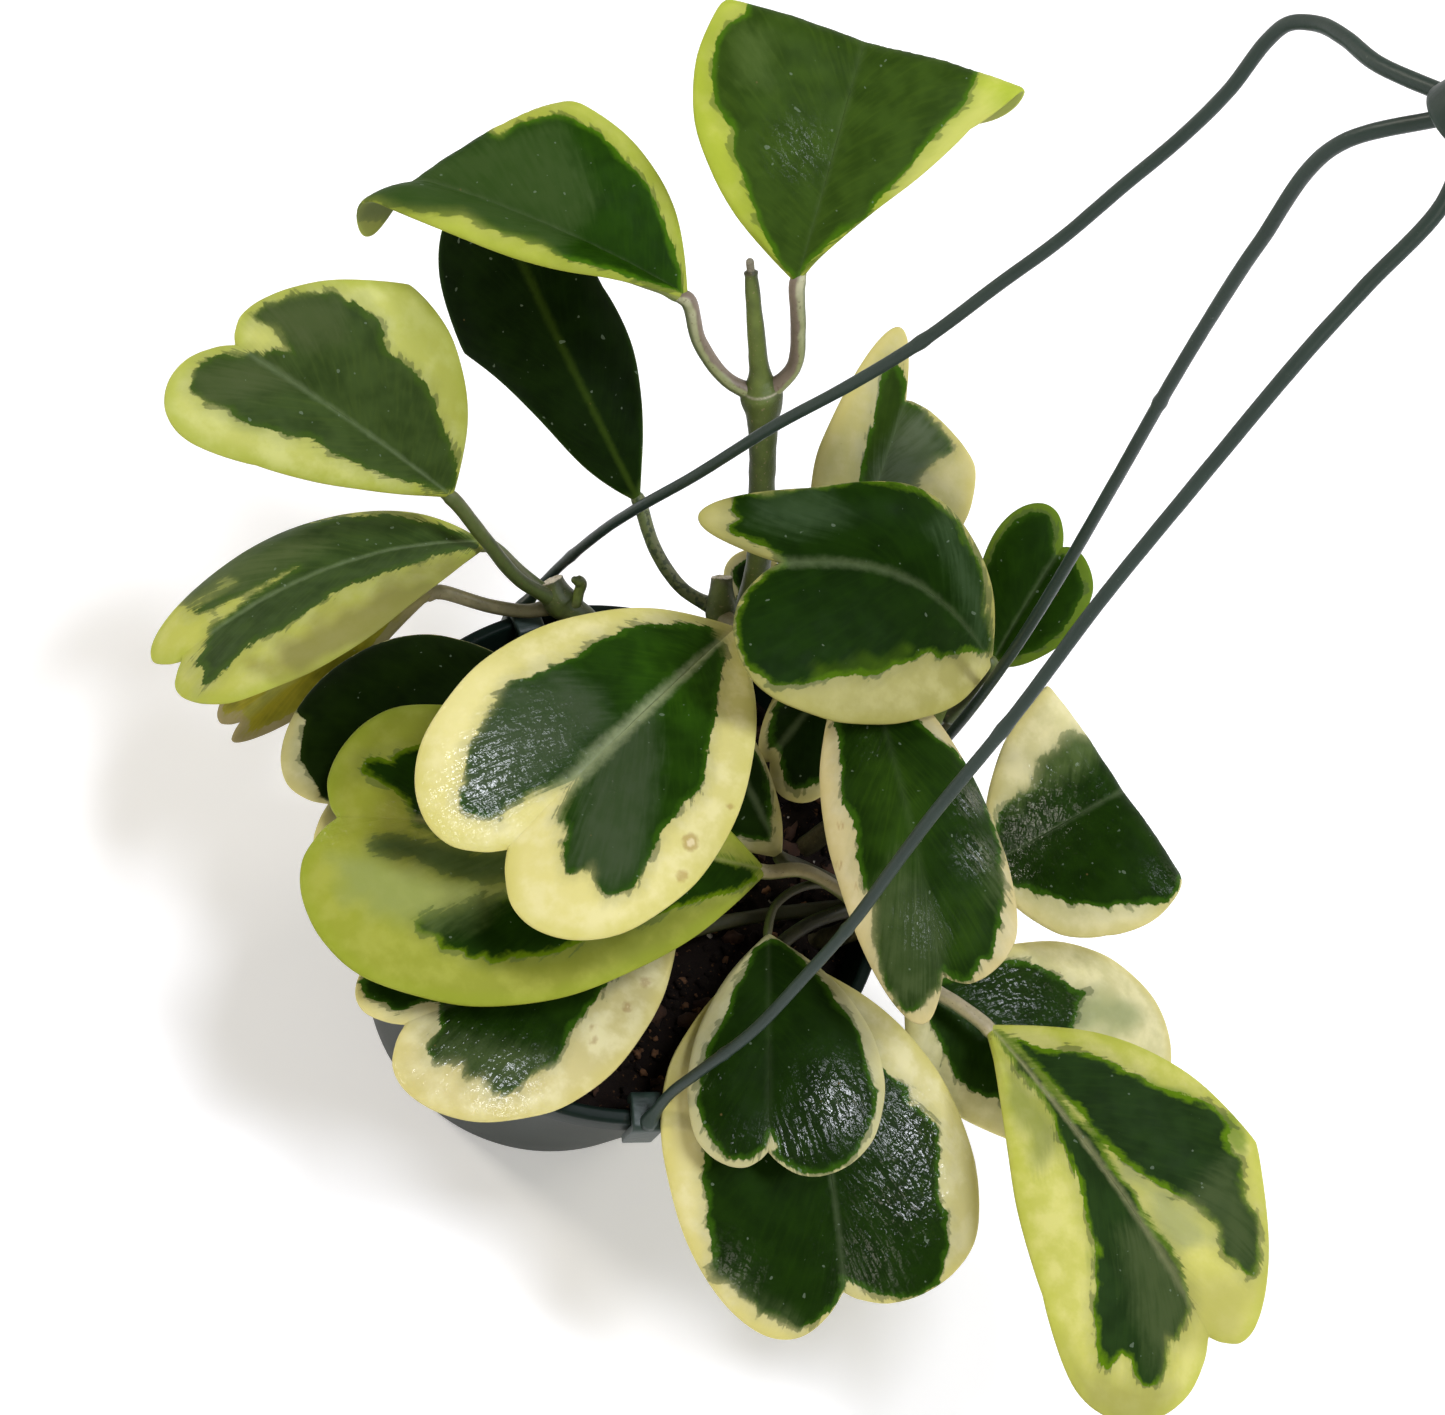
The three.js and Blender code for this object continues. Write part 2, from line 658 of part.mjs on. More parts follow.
// The soil fills the pot to its level, with a crumbly top and a plain hole for each stem.
function soilSolid() {
  const level = POT_HEIGHT - SOIL_BELOW_RIM;
  const inside = (height) => wallRadius(height) - WALL - SEAT_GAP;
  const floor = FLOOR + SEAT_GAP;
  const vertices = [new THREE.Vector3(0, 0, floor), new THREE.Vector3(0, 0, level)];
  const faces = [];
  const ring = (step) => 2 + step * SOIL_SIDES;
  for (let step = 0; step <= SOIL_RINGS; step += 1) {
    for (let side = 0; side < SOIL_SIDES; side += 1) {
      const angle = (side / SOIL_SIDES) * 2 * Math.PI;
      const isFloor = step === 0;
      const share = isFloor ? 1 : 1 - (step - 1) / SOIL_RINGS;
      const wave = Math.sin(angle * CRUMBS_AROUND[0] + step * CRUMBS_INWARD[0]);
      const crumb = wave * Math.cos(angle * CRUMBS_AROUND[1] - step * CRUMBS_INWARD[1]);
      const height = isFloor ? floor : level + (share === 1 ? 0 : CRUMB * crumb);
      const radius = inside(isFloor ? floor : level) * share;
      vertices.push(new THREE.Vector3(Math.cos(angle) * radius, Math.sin(angle) * radius, height));
      const next = (side + 1) % SOIL_SIDES;
      if (step > 0) {
        faces.push([ring(step - 1) + side, ring(step - 1) + next, ring(step) + next]);
        faces.push([ring(step - 1) + side, ring(step) + next, ring(step) + side]);
      }
      if (step === SOIL_RINGS) {
        faces.push([ring(step) + side, ring(step) + next, 1]);
      }
      if (isFloor) {
        faces.push([0, next + 2, side + 2]);
      }
    }
  }
  let soil = toSolid(indexed(vertices, faces));
  for (const name of Object.keys(STEMS)) {
    soil = soil.subtract(stemSolid(name, SEAT_GAP));
  }
  return soil;
}

const boss = seen(BOSS_SEEN);

// Each arm ends in a socket of the boss, and its foot turns over the rim in a rounded tab.
function armSolid(arm, extra = 0) {
  const angle = radians(arm.tabAngle);
  const outward = new THREE.Vector3(Math.cos(angle), Math.sin(angle), 0);
  const outside = RIM_DIAMETER / 2 + SEAT_GAP + TAB_THICKNESS / 2;
  const tabTop = POT_HEIGHT + SEAT_GAP + TAB_THICKNESS / 2;
  const onRim = (radius, height) =>
    outward.clone().multiplyScalar(radius).setZ(height);
  const foot = onRim(outside - ARM_FOOT_INSET, tabTop);
  const last = seen(arm.through[arm.through.length - 1]);
  const toBoss = boss.clone().sub(last);
  const reach = toBoss.length() - BOSS_DIAMETER / 2 + ARM_SOCKET + extra;
  const end = last.clone().addScaledVector(toBoss.normalize(), reach);
  const route = [foot, ...arm.through.map(seen), end];
  const line = new THREE.CatmullRomCurve3(route, false, "centripetal");
  const section = new THREE.Shape();
  section.absarc(0, 0, ARM_DIAMETER / 2 + extra, 0, 2 * Math.PI, true);
  const rod = toSolid(
    new THREE.ExtrudeGeometry(section, {
      steps: ARM_STEPS,
      curveSegments: ARM_SIDES / 2,
      bevelEnabled: false,
      extrudePath: line,
    }),
  );
  const half = TAB_THICKNESS / 2;
  const inner = outside - TAB_REACH;
  const tab = new THREE.Shape();
  tab.moveTo(inner - half, tabTop - TAB_LIP);
  tab.lineTo(inner - half, tabTop);
  tab.quadraticCurveTo(inner - half, tabTop + half, inner + half, tabTop + half);
  tab.lineTo(outside - half, tabTop + half);
  tab.quadraticCurveTo(outside + half, tabTop + half, outside + half, tabTop - half);
  tab.lineTo(outside + half, tabTop - TAB_DROP);
  tab.lineTo(outside - half, tabTop - TAB_DROP);
  tab.lineTo(outside - half, tabTop - half);
  tab.lineTo(inner + half, tabTop - half);
  tab.lineTo(inner + half, tabTop - TAB_LIP);
  tab.closePath();
  const plate = new THREE.ExtrudeGeometry(tab, {
    depth: TAB_WIDTH,
    curveSegments: TAB_ROUND_STEPS,
    bevelEnabled: false,
  });
  plate.translate(0, 0, -TAB_WIDTH / 2);
  plate.rotateX(Math.PI / 2);
  plate.rotateZ(angle);
  return rod.add(toSolid(plate));
}

// The boss is a short round block on the hanger's own leaning axis, and the hook curls up from it.
function hubSolid() {
  const upward = boss.clone().sub(new THREE.Vector3(0, 0, POT_HEIGHT)).normalize();
  const turn = new THREE.Quaternion().setFromUnitVectors(Z_AXIS, upward);
  const block = new THREE.CylinderGeometry(
    BOSS_TOP_DIAMETER / 2,
    BOSS_DIAMETER / 2,
    BOSS_HEIGHT,
    BOSS_SIDES,
  ).rotateX(Math.PI / 2);
  block.applyQuaternion(turn).translate(boss.x, boss.y, boss.z);
  const bend = HOOK_BEND_DIAMETER / 2;
  const route = [[0, 0], [0, HOOK_SHANK / 3], [0, (HOOK_SHANK * 2) / 3]];
  for (let step = 0; step <= HOOK_STEPS; step += 1) {
    const angle = radians(180 - (HOOK_SWEEP * step) / HOOK_STEPS);
    route.push([bend + Math.cos(angle) * bend, HOOK_SHANK + Math.sin(angle) * bend]);
  }
  const points = route.map(([out, high]) =>
    new THREE.Vector3(out, 0, high).applyQuaternion(turn).add(boss));
  const diameters = points.map((point, index) => (index === 0 ? HOOK_ROOT_DIAMETER : HOOK_DIAMETER));
  const hook = toSolid(limb(points, diameters, HOOK_SIDES, HOOK_SPAN_STEPS));
  let hub = toSolid(block).add(hook);
  for (const arm of Object.values(ARMS)) {
    hub = hub.subtract(armSolid(arm, SEAT_GAP));
  }
  return hub;
}

const plant = new THREE.Group();

function addPiece(name, solid, kind) {
  const mesh = new THREE.Mesh(toGeometry(solid), material(kind));
  mesh.name = name;
  plant.add(mesh);
}

addPiece("pot", potSolid(), "pot");
addPiece("soil", soilSolid(), "soil");
for (const [name, arm] of Object.entries(ARMS)) {
  addPiece(name, armSolid(arm), "hanger");
}
addPiece("hanger_hub", hubSolid(), "hanger");
for (const name of Object.keys(STEMS)) {
  addPiece(name, stemSolid(name), "stem");
}
const grown = [];
for (const [name, ownShape] of Object.entries(LEAVES)) {
  const leaf = { ...PLAIN_LEAF, ...ownShape };
  addPiece(name, leafSolid(leaf, grown), "leaf");
  grown.push(leaf);
}

export default plant;
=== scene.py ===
# %% [markdown]
# # A potted variegated sweetheart hoya, dressed round its fixed frame
# The construction is already there: every pot, wire, stem and leaf has a plain solid at its real
# size. This lesson gives each of them the surface that the eye expects. Everything is in metres,
# +Z up, with the origin in the middle of the pot's flat base.

# %% Load the frame
import math
import random

import bmesh
import bpy
import numpy as np
from mathutils import Matrix, Vector, noise


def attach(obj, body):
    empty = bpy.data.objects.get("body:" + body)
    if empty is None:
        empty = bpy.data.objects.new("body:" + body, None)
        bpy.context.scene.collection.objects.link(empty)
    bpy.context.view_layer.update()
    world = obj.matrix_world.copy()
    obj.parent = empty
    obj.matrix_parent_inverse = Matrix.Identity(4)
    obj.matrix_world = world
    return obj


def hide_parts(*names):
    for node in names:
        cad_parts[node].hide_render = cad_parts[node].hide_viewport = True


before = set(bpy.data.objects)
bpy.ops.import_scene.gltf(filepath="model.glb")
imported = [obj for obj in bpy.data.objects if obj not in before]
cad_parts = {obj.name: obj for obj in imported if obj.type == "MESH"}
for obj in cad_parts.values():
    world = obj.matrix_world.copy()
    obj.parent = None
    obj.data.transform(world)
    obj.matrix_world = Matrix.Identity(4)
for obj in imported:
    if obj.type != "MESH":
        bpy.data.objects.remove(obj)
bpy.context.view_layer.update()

MM = 0.001
print("nodes in the frame:", len(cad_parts))

# %% [markdown]
# ## The view
# The plant was photographed with a normal lens that looks steeply down at the pot and is rolled to
# one side. A camera could be turned by hand until it fits, but the rim of the pot is a true circle,
# so its ellipse gives the angles. The same three axes then place things on their sight lines.

# %% The camera
VIEW_WIDTH = 1445
VIEW_HEIGHT = 1415
VIEW_FOCAL = 2007
VIEW_PITCH = math.radians(59.25)
VIEW_ROLL = math.radians(32.7)
VIEW_YAW = math.radians(0.36)
POT_HEIGHT = 110
VIEW_FROM = np.array([0.0, -237.2, 488.6 + POT_HEIGHT])
RIM_DISTANCE = 541.2
SENSOR_WIDTH = 36

ahead = Vector((
    math.sin(VIEW_YAW) * math.cos(VIEW_PITCH),
    math.cos(VIEW_YAW) * math.cos(VIEW_PITCH),
    -math.sin(VIEW_PITCH),
))
level = ahead.cross(Vector((0, 0, 1))).normalized()
rightward = Matrix.Rotation(-VIEW_ROLL, 3, ahead) @ level
upward = rightward.cross(ahead)

camera_data = bpy.data.cameras.new("camera")
camera_data.sensor_width = SENSOR_WIDTH
camera_data.lens = VIEW_FOCAL / VIEW_WIDTH * SENSOR_WIDTH
camera_data.clip_start = 0.01
camera = bpy.data.objects.new("camera", camera_data)
bpy.context.scene.collection.objects.link(camera)
turn = Matrix((rightward, upward, -ahead)).transposed()
camera.matrix_world = Matrix.Translation(Vector(VIEW_FROM) * MM) @ turn.to_4x4()
bpy.context.scene.camera = camera
print("camera lens in mm:", round(camera_data.lens, 1))

# %% [markdown]
# ## From a pixel to a place
# A pixel gives only a direction. The third number says how many millimetres the place stands in
# front of the rim's middle, as seen from the lens. So what covers what stays right, and every piece
# can be checked against the photograph.

# %% Sight lines
AHEAD = np.array(ahead)
RIGHTWARD = np.array(rightward)
UPWARD = np.array(upward)


def seen(place):
    """The point, in millimetres, seen at a pixel and so much nearer than the rim's middle."""
    x, y, nearer = place
    distance = RIM_DISTANCE - nearer
    aside = (x - VIEW_WIDTH / 2) / VIEW_FOCAL * distance
    above = (VIEW_HEIGHT / 2 - y) / VIEW_FOCAL * distance
    return VIEW_FROM + AHEAD * distance + RIGHTWARD * aside + UPWARD * above


def pixels(points):
    """Where points in millimetres show in the photograph."""
    away = points - VIEW_FROM
    distance = away @ AHEAD
    x = VIEW_WIDTH / 2 + (away @ RIGHTWARD) / distance * VIEW_FOCAL
    y = VIEW_HEIGHT / 2 - (away @ UPWARD) / distance * VIEW_FOCAL
    return np.stack([x, y], axis=1)


print("rim's middle shows at", pixels(np.array([[0.0, 0.0, POT_HEIGHT]])).round()[0])

# %% [markdown]
# ## Colour and nodes
# Colours are easier to read off as the hex values of a paint chart. Shaders work in linear light,
# so one function turns them. One more adds a shader node with its settings and links, and it fills
# its inputs with a small helper that also fills a material's finished shader. An input is a
# plain value, an output of another node, or the other node itself, which then feeds it through its
# main output. A colour mix takes its share at input 0 and its two colours at inputs 6 and 7. Most
# ranges should start and end softly, and most sums are a times b plus c, so those are the usual
# settings. A skin of many tones is painted in layers: a loop mixes each tone over the last.

# %% Two small tools for materials


def linear(hex_colour):
    """An sRGB hex colour as linear red, green, blue and alpha."""
    channels = [int(hex_colour[index:index + 2], 16) / 255 for index in (1, 3, 5)]
    lit = [c / 12.92 if c <= 0.04045 else ((c + 0.055) / 1.055) ** 2.4 for c in channels]
    return (*lit, 1.0)


MAIN_OUTPUT = {"ShaderNodeMix": 2, "ShaderNodeAttribute": 2}
USUAL_SETTINGS = {
    "Mix": {"data_type": "RGBA"},
    "MapRange": {"interpolation_type": "SMOOTHSTEP"},
    "Math": {"operation": "MULTIPLY_ADD"},
}
SHARE, FIRST, SECOND = 0, 6, 7


def feed(node, inputs):
    """Fill a node's inputs; each is a value, or the node or output that feeds it."""
    for name, value in inputs.items():
        if isinstance(value, bpy.types.Node):
            value = value.outputs[MAIN_OUTPUT.get(value.bl_idname, 0)]
        if isinstance(value, bpy.types.NodeSocket):
            node.id_data.links.new(value, node.inputs[name])
        else:
            node.inputs[name].default_value = value


def add_node(tree, kind, inputs=None, **settings):
    """A node with its settings and its links."""
    made = tree.nodes.new("ShaderNode" + kind)
    for name, value in {**USUAL_SETTINGS.get(kind, {}), **settings}.items():
        setattr(made, name, value)
    feed(made, inputs or {})
    return made


def new_material(name):
    """An empty material with its Principled shader."""
    material = bpy.data.materials.new(name)
    material.use_nodes = True
    return material, material.node_tree, material.node_tree.nodes["Principled BSDF"]


print("white is", linear("#ffffff"))

# %% [markdown]
# ## Pieces
# Each piece is a mesh in the frame's own place. It rides on the one body, hides the plain solid
# that it stands for and takes its finish. Smooth shading hides the facets.

# %% Make a piece


def make_piece(name, vertices, faces, material, node=None, attributes=None):
    """A mesh piece from points in millimetres that rides on the body and replaces a node."""
    mesh = bpy.data.meshes.new(name)
    mesh.from_pydata((np.asarray(vertices) * MM).tolist(), [], faces)
    mesh.update()
    for key, values in (attributes or {}).items():
        values = np.asarray(values, dtype=np.float32)
        kind = "FLOAT_VECTOR" if values.ndim == 2 else "FLOAT"
        field = "vector" if values.ndim == 2 else "value"
        mesh.attributes.new(key, kind, "POINT").data.foreach_set(field, values.ravel())
    mesh.materials.append(material)
    mesh.shade_smooth()
    piece = bpy.data.objects.new(name, mesh)
    bpy.context.scene.collection.objects.link(piece)
    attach(piece, "root")
    if node:
        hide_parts(node)
    return piece


def turned_faces(rings, around, closed_ends):
    """Quads between rings of points, with a fan on each end."""
    faces = []
    for ring in range(rings - 1):
        for side in range(around):
            here = ring * around
            after = (side + 1) % around
            faces.append((here + side, here + after, here + around + after, here + around + side))
    if closed_ends:
        start = rings * around
        last = (rings - 1) * around
        for side in range(around):
            after = (side + 1) % around
            faces.append((start, after, side))
            faces.append((start + 1, last + side, last + after))
    return faces


print("faces of a plain tube:", len(turned_faces(2, 12, True)))

# %% [markdown]
# ## Floor and light
# The plant stands on a white studio table of translucent acrylic, which glows a little from below,
# so that shadows stay pale. Dark leaves look deep only where they mirror something dark, so the
# sky overhead is dim and the light comes from soft boxes. The two overhead are small: waxy leaves
# mirror them where their skin is wrinkled, and that gives them their crackled glints.

# %% The floor
TABLE_SIZE = 6.0

table_top, tree, shader = new_material("matt white acrylic")
grain = add_node(tree, "TexNoise", {"Scale": 900.0, "Detail": 3.0})
tint = add_node(tree, "Mix", {SHARE: grain, FIRST: linear("#f6f7fb"), SECOND: linear("#fbfbfd")})
feed(shader, {
    "Base Color": tint, "Roughness": 0.9, "Emission Color": linear("#ffffff"),
    "Emission Strength": 0.28,
})
floor_mesh = bpy.data.meshes.new("floor")
half = TABLE_SIZE / 2
corners = [(-half, -half, 0), (half, -half, 0), (half, half, 0), (-half, half, 0)]
floor_mesh.from_pydata(corners, [], [(0, 1, 2, 3)])
floor_mesh.materials.append(table_top)
floor = bpy.data.objects.new("floor", floor_mesh)
bpy.context.scene.collection.objects.link(floor)
print("floor laid, metres across:", TABLE_SIZE)

# %% Soft light
world = bpy.data.worlds.new("studio")
world.use_nodes = True
tree = world.node_tree
sky = add_node(tree, "TexCoord").outputs["Generated"]
up = add_node(tree, "SeparateXYZ", {"Vector": sky}).outputs["Z"]
glow = add_node(tree, "MapRange", {
    "Value": up, "From Min": 0.05, "From Max": 0.55, "To Min": 0.85, "To Max": 0.12,
})
feed(tree.nodes["Background"], {"Color": linear("#fff9f0"), "Strength": glow})
bpy.context.scene.world = world
bpy.context.scene.view_settings.view_transform = "Standard"

PLANT_MIDDLE = Vector((0.01, 0.01, 0.15))
# Each soft box: the way to it, metres away, its width and height in metres, watts and tint.
SOFT_BOXES = {
    "ceiling_panel": ((0.12, 0.05, 0.99), 1.6, (0.32, 0.32), 12, "#f2f5ff"),
    "skylight": ((0.45, 0.03, 0.89), 1.6, (0.36, 0.36), 12, "#f2f5ff"),
    "window_left": ((-0.9, 0.02, 0.43), 2.0, (0.36, 0.36), 15, "#fff7ea"),
    "window_back": ((0.45, 0.85, 0.42), 2.0, (0.9, 0.9), 9, "#fff7ea"),
    "fill_front": ((0.3, -1.0, 0.5), 2.4, (1.0, 0.8), 14, "#fff7ea"),
}
for name, (toward, away, size, power, tint) in SOFT_BOXES.items():
    lamp = bpy.data.lights.new(name, "AREA")
    lamp.shape = "RECTANGLE"
    lamp.size, lamp.size_y = size
    lamp.energy = power
    lamp.color = linear(tint)[:3]
    holder = bpy.data.objects.new(name, lamp)
    holder.location = PLANT_MIDDLE + Vector(toward).normalized() * away
    holder.rotation_euler = (-Vector(toward)).to_track_quat("-Z", "Y").to_euler()
    bpy.context.scene.collection.objects.link(holder)
print("soft boxes:", len(SOFT_BOXES))

# %% [markdown]
# ## The pot
# A hanging nursery pot is injection moulded in one shot: a thin wall that leans out, a stiff rolled
# rim and drain holes in the floor. A profile turned round the axis gives the wall and the rim. The
# holes are cut through the floor afterwards, because a turned form can't have them.

# %% The pot's sizes
RIM_DIAMETER = 150
BASE_DIAMETER = 112
WALL = 1.8
FLOOR = 2.6
RIM_BAND = 9
RIM_PROUD = 2.2
POT_SIDES = 144
DRAIN_COUNT = 6
DRAIN_DIAMETER = 8
DRAIN_CIRCLE = 72
DRILL_SIDES = 28
CREASE_FROM = 50


def wall_radius(height):
    """The outside radius of the leaning wall at a height."""
    share = height / POT_HEIGHT
    return BASE_DIAMETER / 2 * (1 - share) + (RIM_DIAMETER / 2 - RIM_PROUD) * share


def turned(profile, sides):
    """Rings of points for a profile of radius and height, and its faces."""
    angles = np.arange(sides) / sides * 2 * math.pi
    rings = [np.stack([r * np.cos(angles), r * np.sin(angles), np.full(sides, float(h))], axis=1)
             for r, h in profile]
    ends = np.array([[0.0, 0.0, profile[0][1]], [0.0, 0.0, profile[-1][1]]])
    return np.concatenate([*rings, ends]), turned_faces(len(profile), sides, True)


def arc(middle, radius, start, end, steps):
    """Points of an arc in a profile, in degrees."""
    turns = [math.radians(start + (end - start) * step / steps) for step in range(steps + 1)]
    return [(middle[0] + radius * math.cos(t), middle[1] + radius * math.sin(t)) for t in turns]


band = POT_HEIGHT - RIM_BAND
rim = RIM_DIAMETER / 2
FOOT_ROUND = 1.6
# Radius and height in mm, from under the base up the outside, over the rim and down the inside.
pot_profile = [
    (0.4, 0), (48, 0), (48.6, 0.5), (50.4, 0.5), (51, 0),
    *arc((BASE_DIAMETER / 2 - FOOT_ROUND, FOOT_ROUND), FOOT_ROUND, -90, -8, 5),
    *[(wall_radius(h), h) for h in (20, 40, 60, 80, band - 3)],
    *arc((wall_radius(band) + 1.1, band - 0.9), 1.0, 190, 90, 4),
    *arc((rim - 1.0, band + 1.0), 0.9, -80, 0, 4),
    *arc((rim - 1.2, POT_HEIGHT - 1.6), 1.2, 0, 80, 5),
    *arc((rim - 2.6, POT_HEIGHT - 1.2), 1.1, 80, 175, 6),
    (wall_radius(band) - WALL, band),
    *[(wall_radius(h) - WALL, h) for h in (80, 50, 20, FLOOR + 2)],
    *arc((wall_radius(0) - WALL - 2, FLOOR + 2), 2, 0, -90, 4),
    (0.4, FLOOR),
]
pot_points, pot_faces = turned(pot_profile, POT_SIDES)
print("pot points:", len(pot_points))

# %% [markdown]
# ## Moulded polypropylene
# The pot is polypropylene, dyed a green that is nearly black. Moulding leaves a smooth but not
# polished skin: wide soft highlights, a fine pearl grain from the tool, and dried splashes of soil
# that catch near the rim and the foot.

# %% The pot's material

pot_plastic, tree, shader = new_material("moulded polypropylene, black green")
place = add_node(tree, "TexCoord").outputs["Object"]
height = add_node(tree, "SeparateXYZ", {"Vector": place}).outputs["Z"]
cloudy = add_node(tree, "TexNoise", {"Vector": place, "Scale": 1 / (22 * MM), "Detail": 3.0})
plastic = add_node(tree, "Mix", {SHARE: cloudy, FIRST: linear("#0b1511"), SECOND: linear("#16241e")})
splashes = add_node(tree, "TexNoise", {
    "Vector": place, "Scale": 1 / (2.4 * MM), "Detail": 4.0, "Roughness": 0.7,
})
splash = add_node(tree, "MapRange", {"Value": splashes, "From Min": 0.6, "From Max": 0.72})
low_down = add_node(tree, "MapRange", {
    "Value": height, "From Min": 16 * MM, "From Max": 0.0, "To Min": 0.12, "To Max": 1.0,
})
dirt = add_node(tree, "Math", {0: splash, 1: low_down}, operation="MULTIPLY")
plastic = add_node(tree, "Mix", {SHARE: dirt, FIRST: plastic, SECOND: linear("#5d4a38")})
dull = add_node(tree, "MapRange", {
    "Value": dirt, "From Min": 0.0, "From Max": 0.6, "To Min": 0.42, "To Max": 0.8,
})
pearl = add_node(tree, "TexNoise", {"Vector": place, "Scale": 1 / (0.9 * MM), "Detail": 2.0})
relief = add_node(tree, "Bump", {"Height": pearl, "Distance": 0.05 * MM})
feed(shader, {
    "Base Color": plastic, "Roughness": dull, "Normal": relief, "IOR": 1.49,
    "Specular IOR Level": 0.07,
})
print("pot plastic ready")

# %% The pot, with its holes cut
pot = make_piece("pot_shell", pot_points, pot_faces, pot_plastic, "pot")
drill_profile = [(DRAIN_DIAMETER / 2, -1), (DRAIN_DIAMETER / 2, FLOOR + 1)]
drill_points, drill_faces = turned(drill_profile, DRILL_SIDES)
drills = []
drill_sets = []
for hole in range(DRAIN_COUNT):
    turn_by = hole / DRAIN_COUNT * 2 * math.pi
    shift = np.array([math.cos(turn_by), math.sin(turn_by), 0]) * DRAIN_CIRCLE / 2
    drills.append(drill_points + shift)
    drill_sets += [tuple(i + hole * len(drill_points) for i in f) for f in drill_faces]
drill_mesh = bpy.data.meshes.new("drills")
drill_mesh.from_pydata((np.concatenate(drills) * MM).tolist(), [], drill_sets)
drill = bpy.data.objects.new("drills", drill_mesh)
bpy.context.scene.collection.objects.link(drill)


def right_way_out(mesh):
    """Turns a closed mesh's faces outward."""
    work = bmesh.new()
    work.from_mesh(mesh)
    bmesh.ops.recalc_face_normals(work, faces=work.faces)
    work.to_mesh(mesh)
    work.free()


right_way_out(pot.data)
right_way_out(drill_mesh)
cut = pot.modifiers.new("drain_holes", "BOOLEAN")
cut.operation = "DIFFERENCE"
cut.solver = "EXACT"
cut.object = drill
bpy.context.view_layer.update()
drilled = bpy.data.meshes.new_from_object(pot.evaluated_get(bpy.context.evaluated_depsgraph_get()))
pot.modifiers.clear()
pot.data = drilled
bpy.data.objects.remove(drill)
for polygon in drilled.polygons:
    polygon.use_smooth = True
drilled.set_sharp_from_angle(angle=math.radians(CREASE_FROM))
print("pot faces with its holes:", len(drilled.polygons))

# %% [markdown]
# ## Soil
# The pot holds a loose potting mix: black peat, brown bark chips and a few crumbs of perlite. One
# sheet of noise gives the ground. Loose crumbs lie on it as small lumps of their own, since a bump
# alone would look flat where the pot is seen from the side.

# %% The ground
SOIL_LEVEL = POT_HEIGHT - 12
SOIL_GAP = 0.3
SOIL_FOOT_GAP = 1.4
SOIL_HEM_IN = 0.4
SOIL_HEM_DOWN = 2.6
GROUND_RINGS = 46
GROUND_SIDES = 150
LUMP_SIZE = 9
LUMP_HIGH = 2.2
LUMP_OCTAVES = 4
FINE_SIZE = 1.9
FINE_HIGH = 0.8
CALM_AT_WALL = 0.25
CALM_FADE = 8
soil_radius = wall_radius(SOIL_LEVEL) - WALL - SOIL_GAP


def ground_height(x, y):
    """The lumpy top of the soil, in millimetres."""
    away = math.hypot(x, y) / soil_radius
    lumps = noise.fractal(Vector((x, y, 3.0)) / LUMP_SIZE, 1.0, 2.0, LUMP_OCTAVES) * LUMP_HIGH
    fine = noise.noise(Vector((x, y, 8.0)) / FINE_SIZE) * FINE_HIGH
    return SOIL_LEVEL + (lumps + fine) * min(1.0, (1 - away) * CALM_FADE + CALM_AT_WALL)


angles = np.arange(GROUND_SIDES) / GROUND_SIDES * 2 * math.pi
soil_rings = []
foot_of_soil = (wall_radius(FLOOR) - WALL - SOIL_FOOT_GAP, FLOOR + SOIL_GAP)
hem_of_soil = (soil_radius - SOIL_HEM_IN, SOIL_LEVEL - SOIL_HEM_DOWN)
for radius, level_at in (foot_of_soil, hem_of_soil):
    soil_rings.append([(radius * math.cos(a), radius * math.sin(a), level_at) for a in angles])
for ring in range(GROUND_RINGS):
    radius = soil_radius * (1 - ring / GROUND_RINGS)
    around = [(radius * math.cos(a), radius * math.sin(a)) for a in angles]
    soil_rings.append([(x, y, ground_height(x, y)) for x, y in around])
soil_ends = [(0, 0, FLOOR + SOIL_GAP), (0, 0, SOIL_LEVEL)]
soil_points = np.array([p for ring in soil_rings for p in ring] + soil_ends)
soil_faces = turned_faces(len(soil_rings), GROUND_SIDES, True)

peat, tree, shader = new_material("damp peat")
place = add_node(tree, "TexCoord").outputs["Object"]
fibres = add_node(tree, "TexNoise", {
    "Vector": place, "Scale": 1 / (3.5 * MM), "Detail": 5.0, "Roughness": 0.65,
})
tone = add_node(tree, "Mix", {SHARE: fibres, FIRST: linear("#040302"), SECOND: linear("#20130b")})
flecks = add_node(tree, "TexNoise", {"Vector": place, "Scale": 1 / (1.3 * MM), "Detail": 3.0})
fleck = add_node(tree, "MapRange", {"Value": flecks, "From Min": 0.64, "From Max": 0.7})
tone = add_node(tree, "Mix", {SHARE: fleck, FIRST: tone, SECOND: linear("#4f3720")})
rough_peat = add_node(tree, "TexNoise", {
    "Vector": place, "Scale": 1 / (1.1 * MM), "Detail": 5.0, "Roughness": 0.7,
})
relief = add_node(tree, "Bump", {"Height": rough_peat, "Distance": 0.9 * MM})
feed(shader, {"Base Color": tone, "Normal": relief, "Roughness": 0.95, "Specular IOR Level": 0.25})
make_piece("soil_ground", soil_points, soil_faces, peat, "soil")
print("soil level in mm:", SOIL_LEVEL)

# %% Loose crumbs, bark and perlite
CRUMB_SEED = 41
FULL_TURN = 6.28
NOISE_SPAN = 90
FACET_NOISE = 1.6
WALL_CLEAR = 4
SUNK_SHARE = 0.35
LEAST_WIDE = 0.6


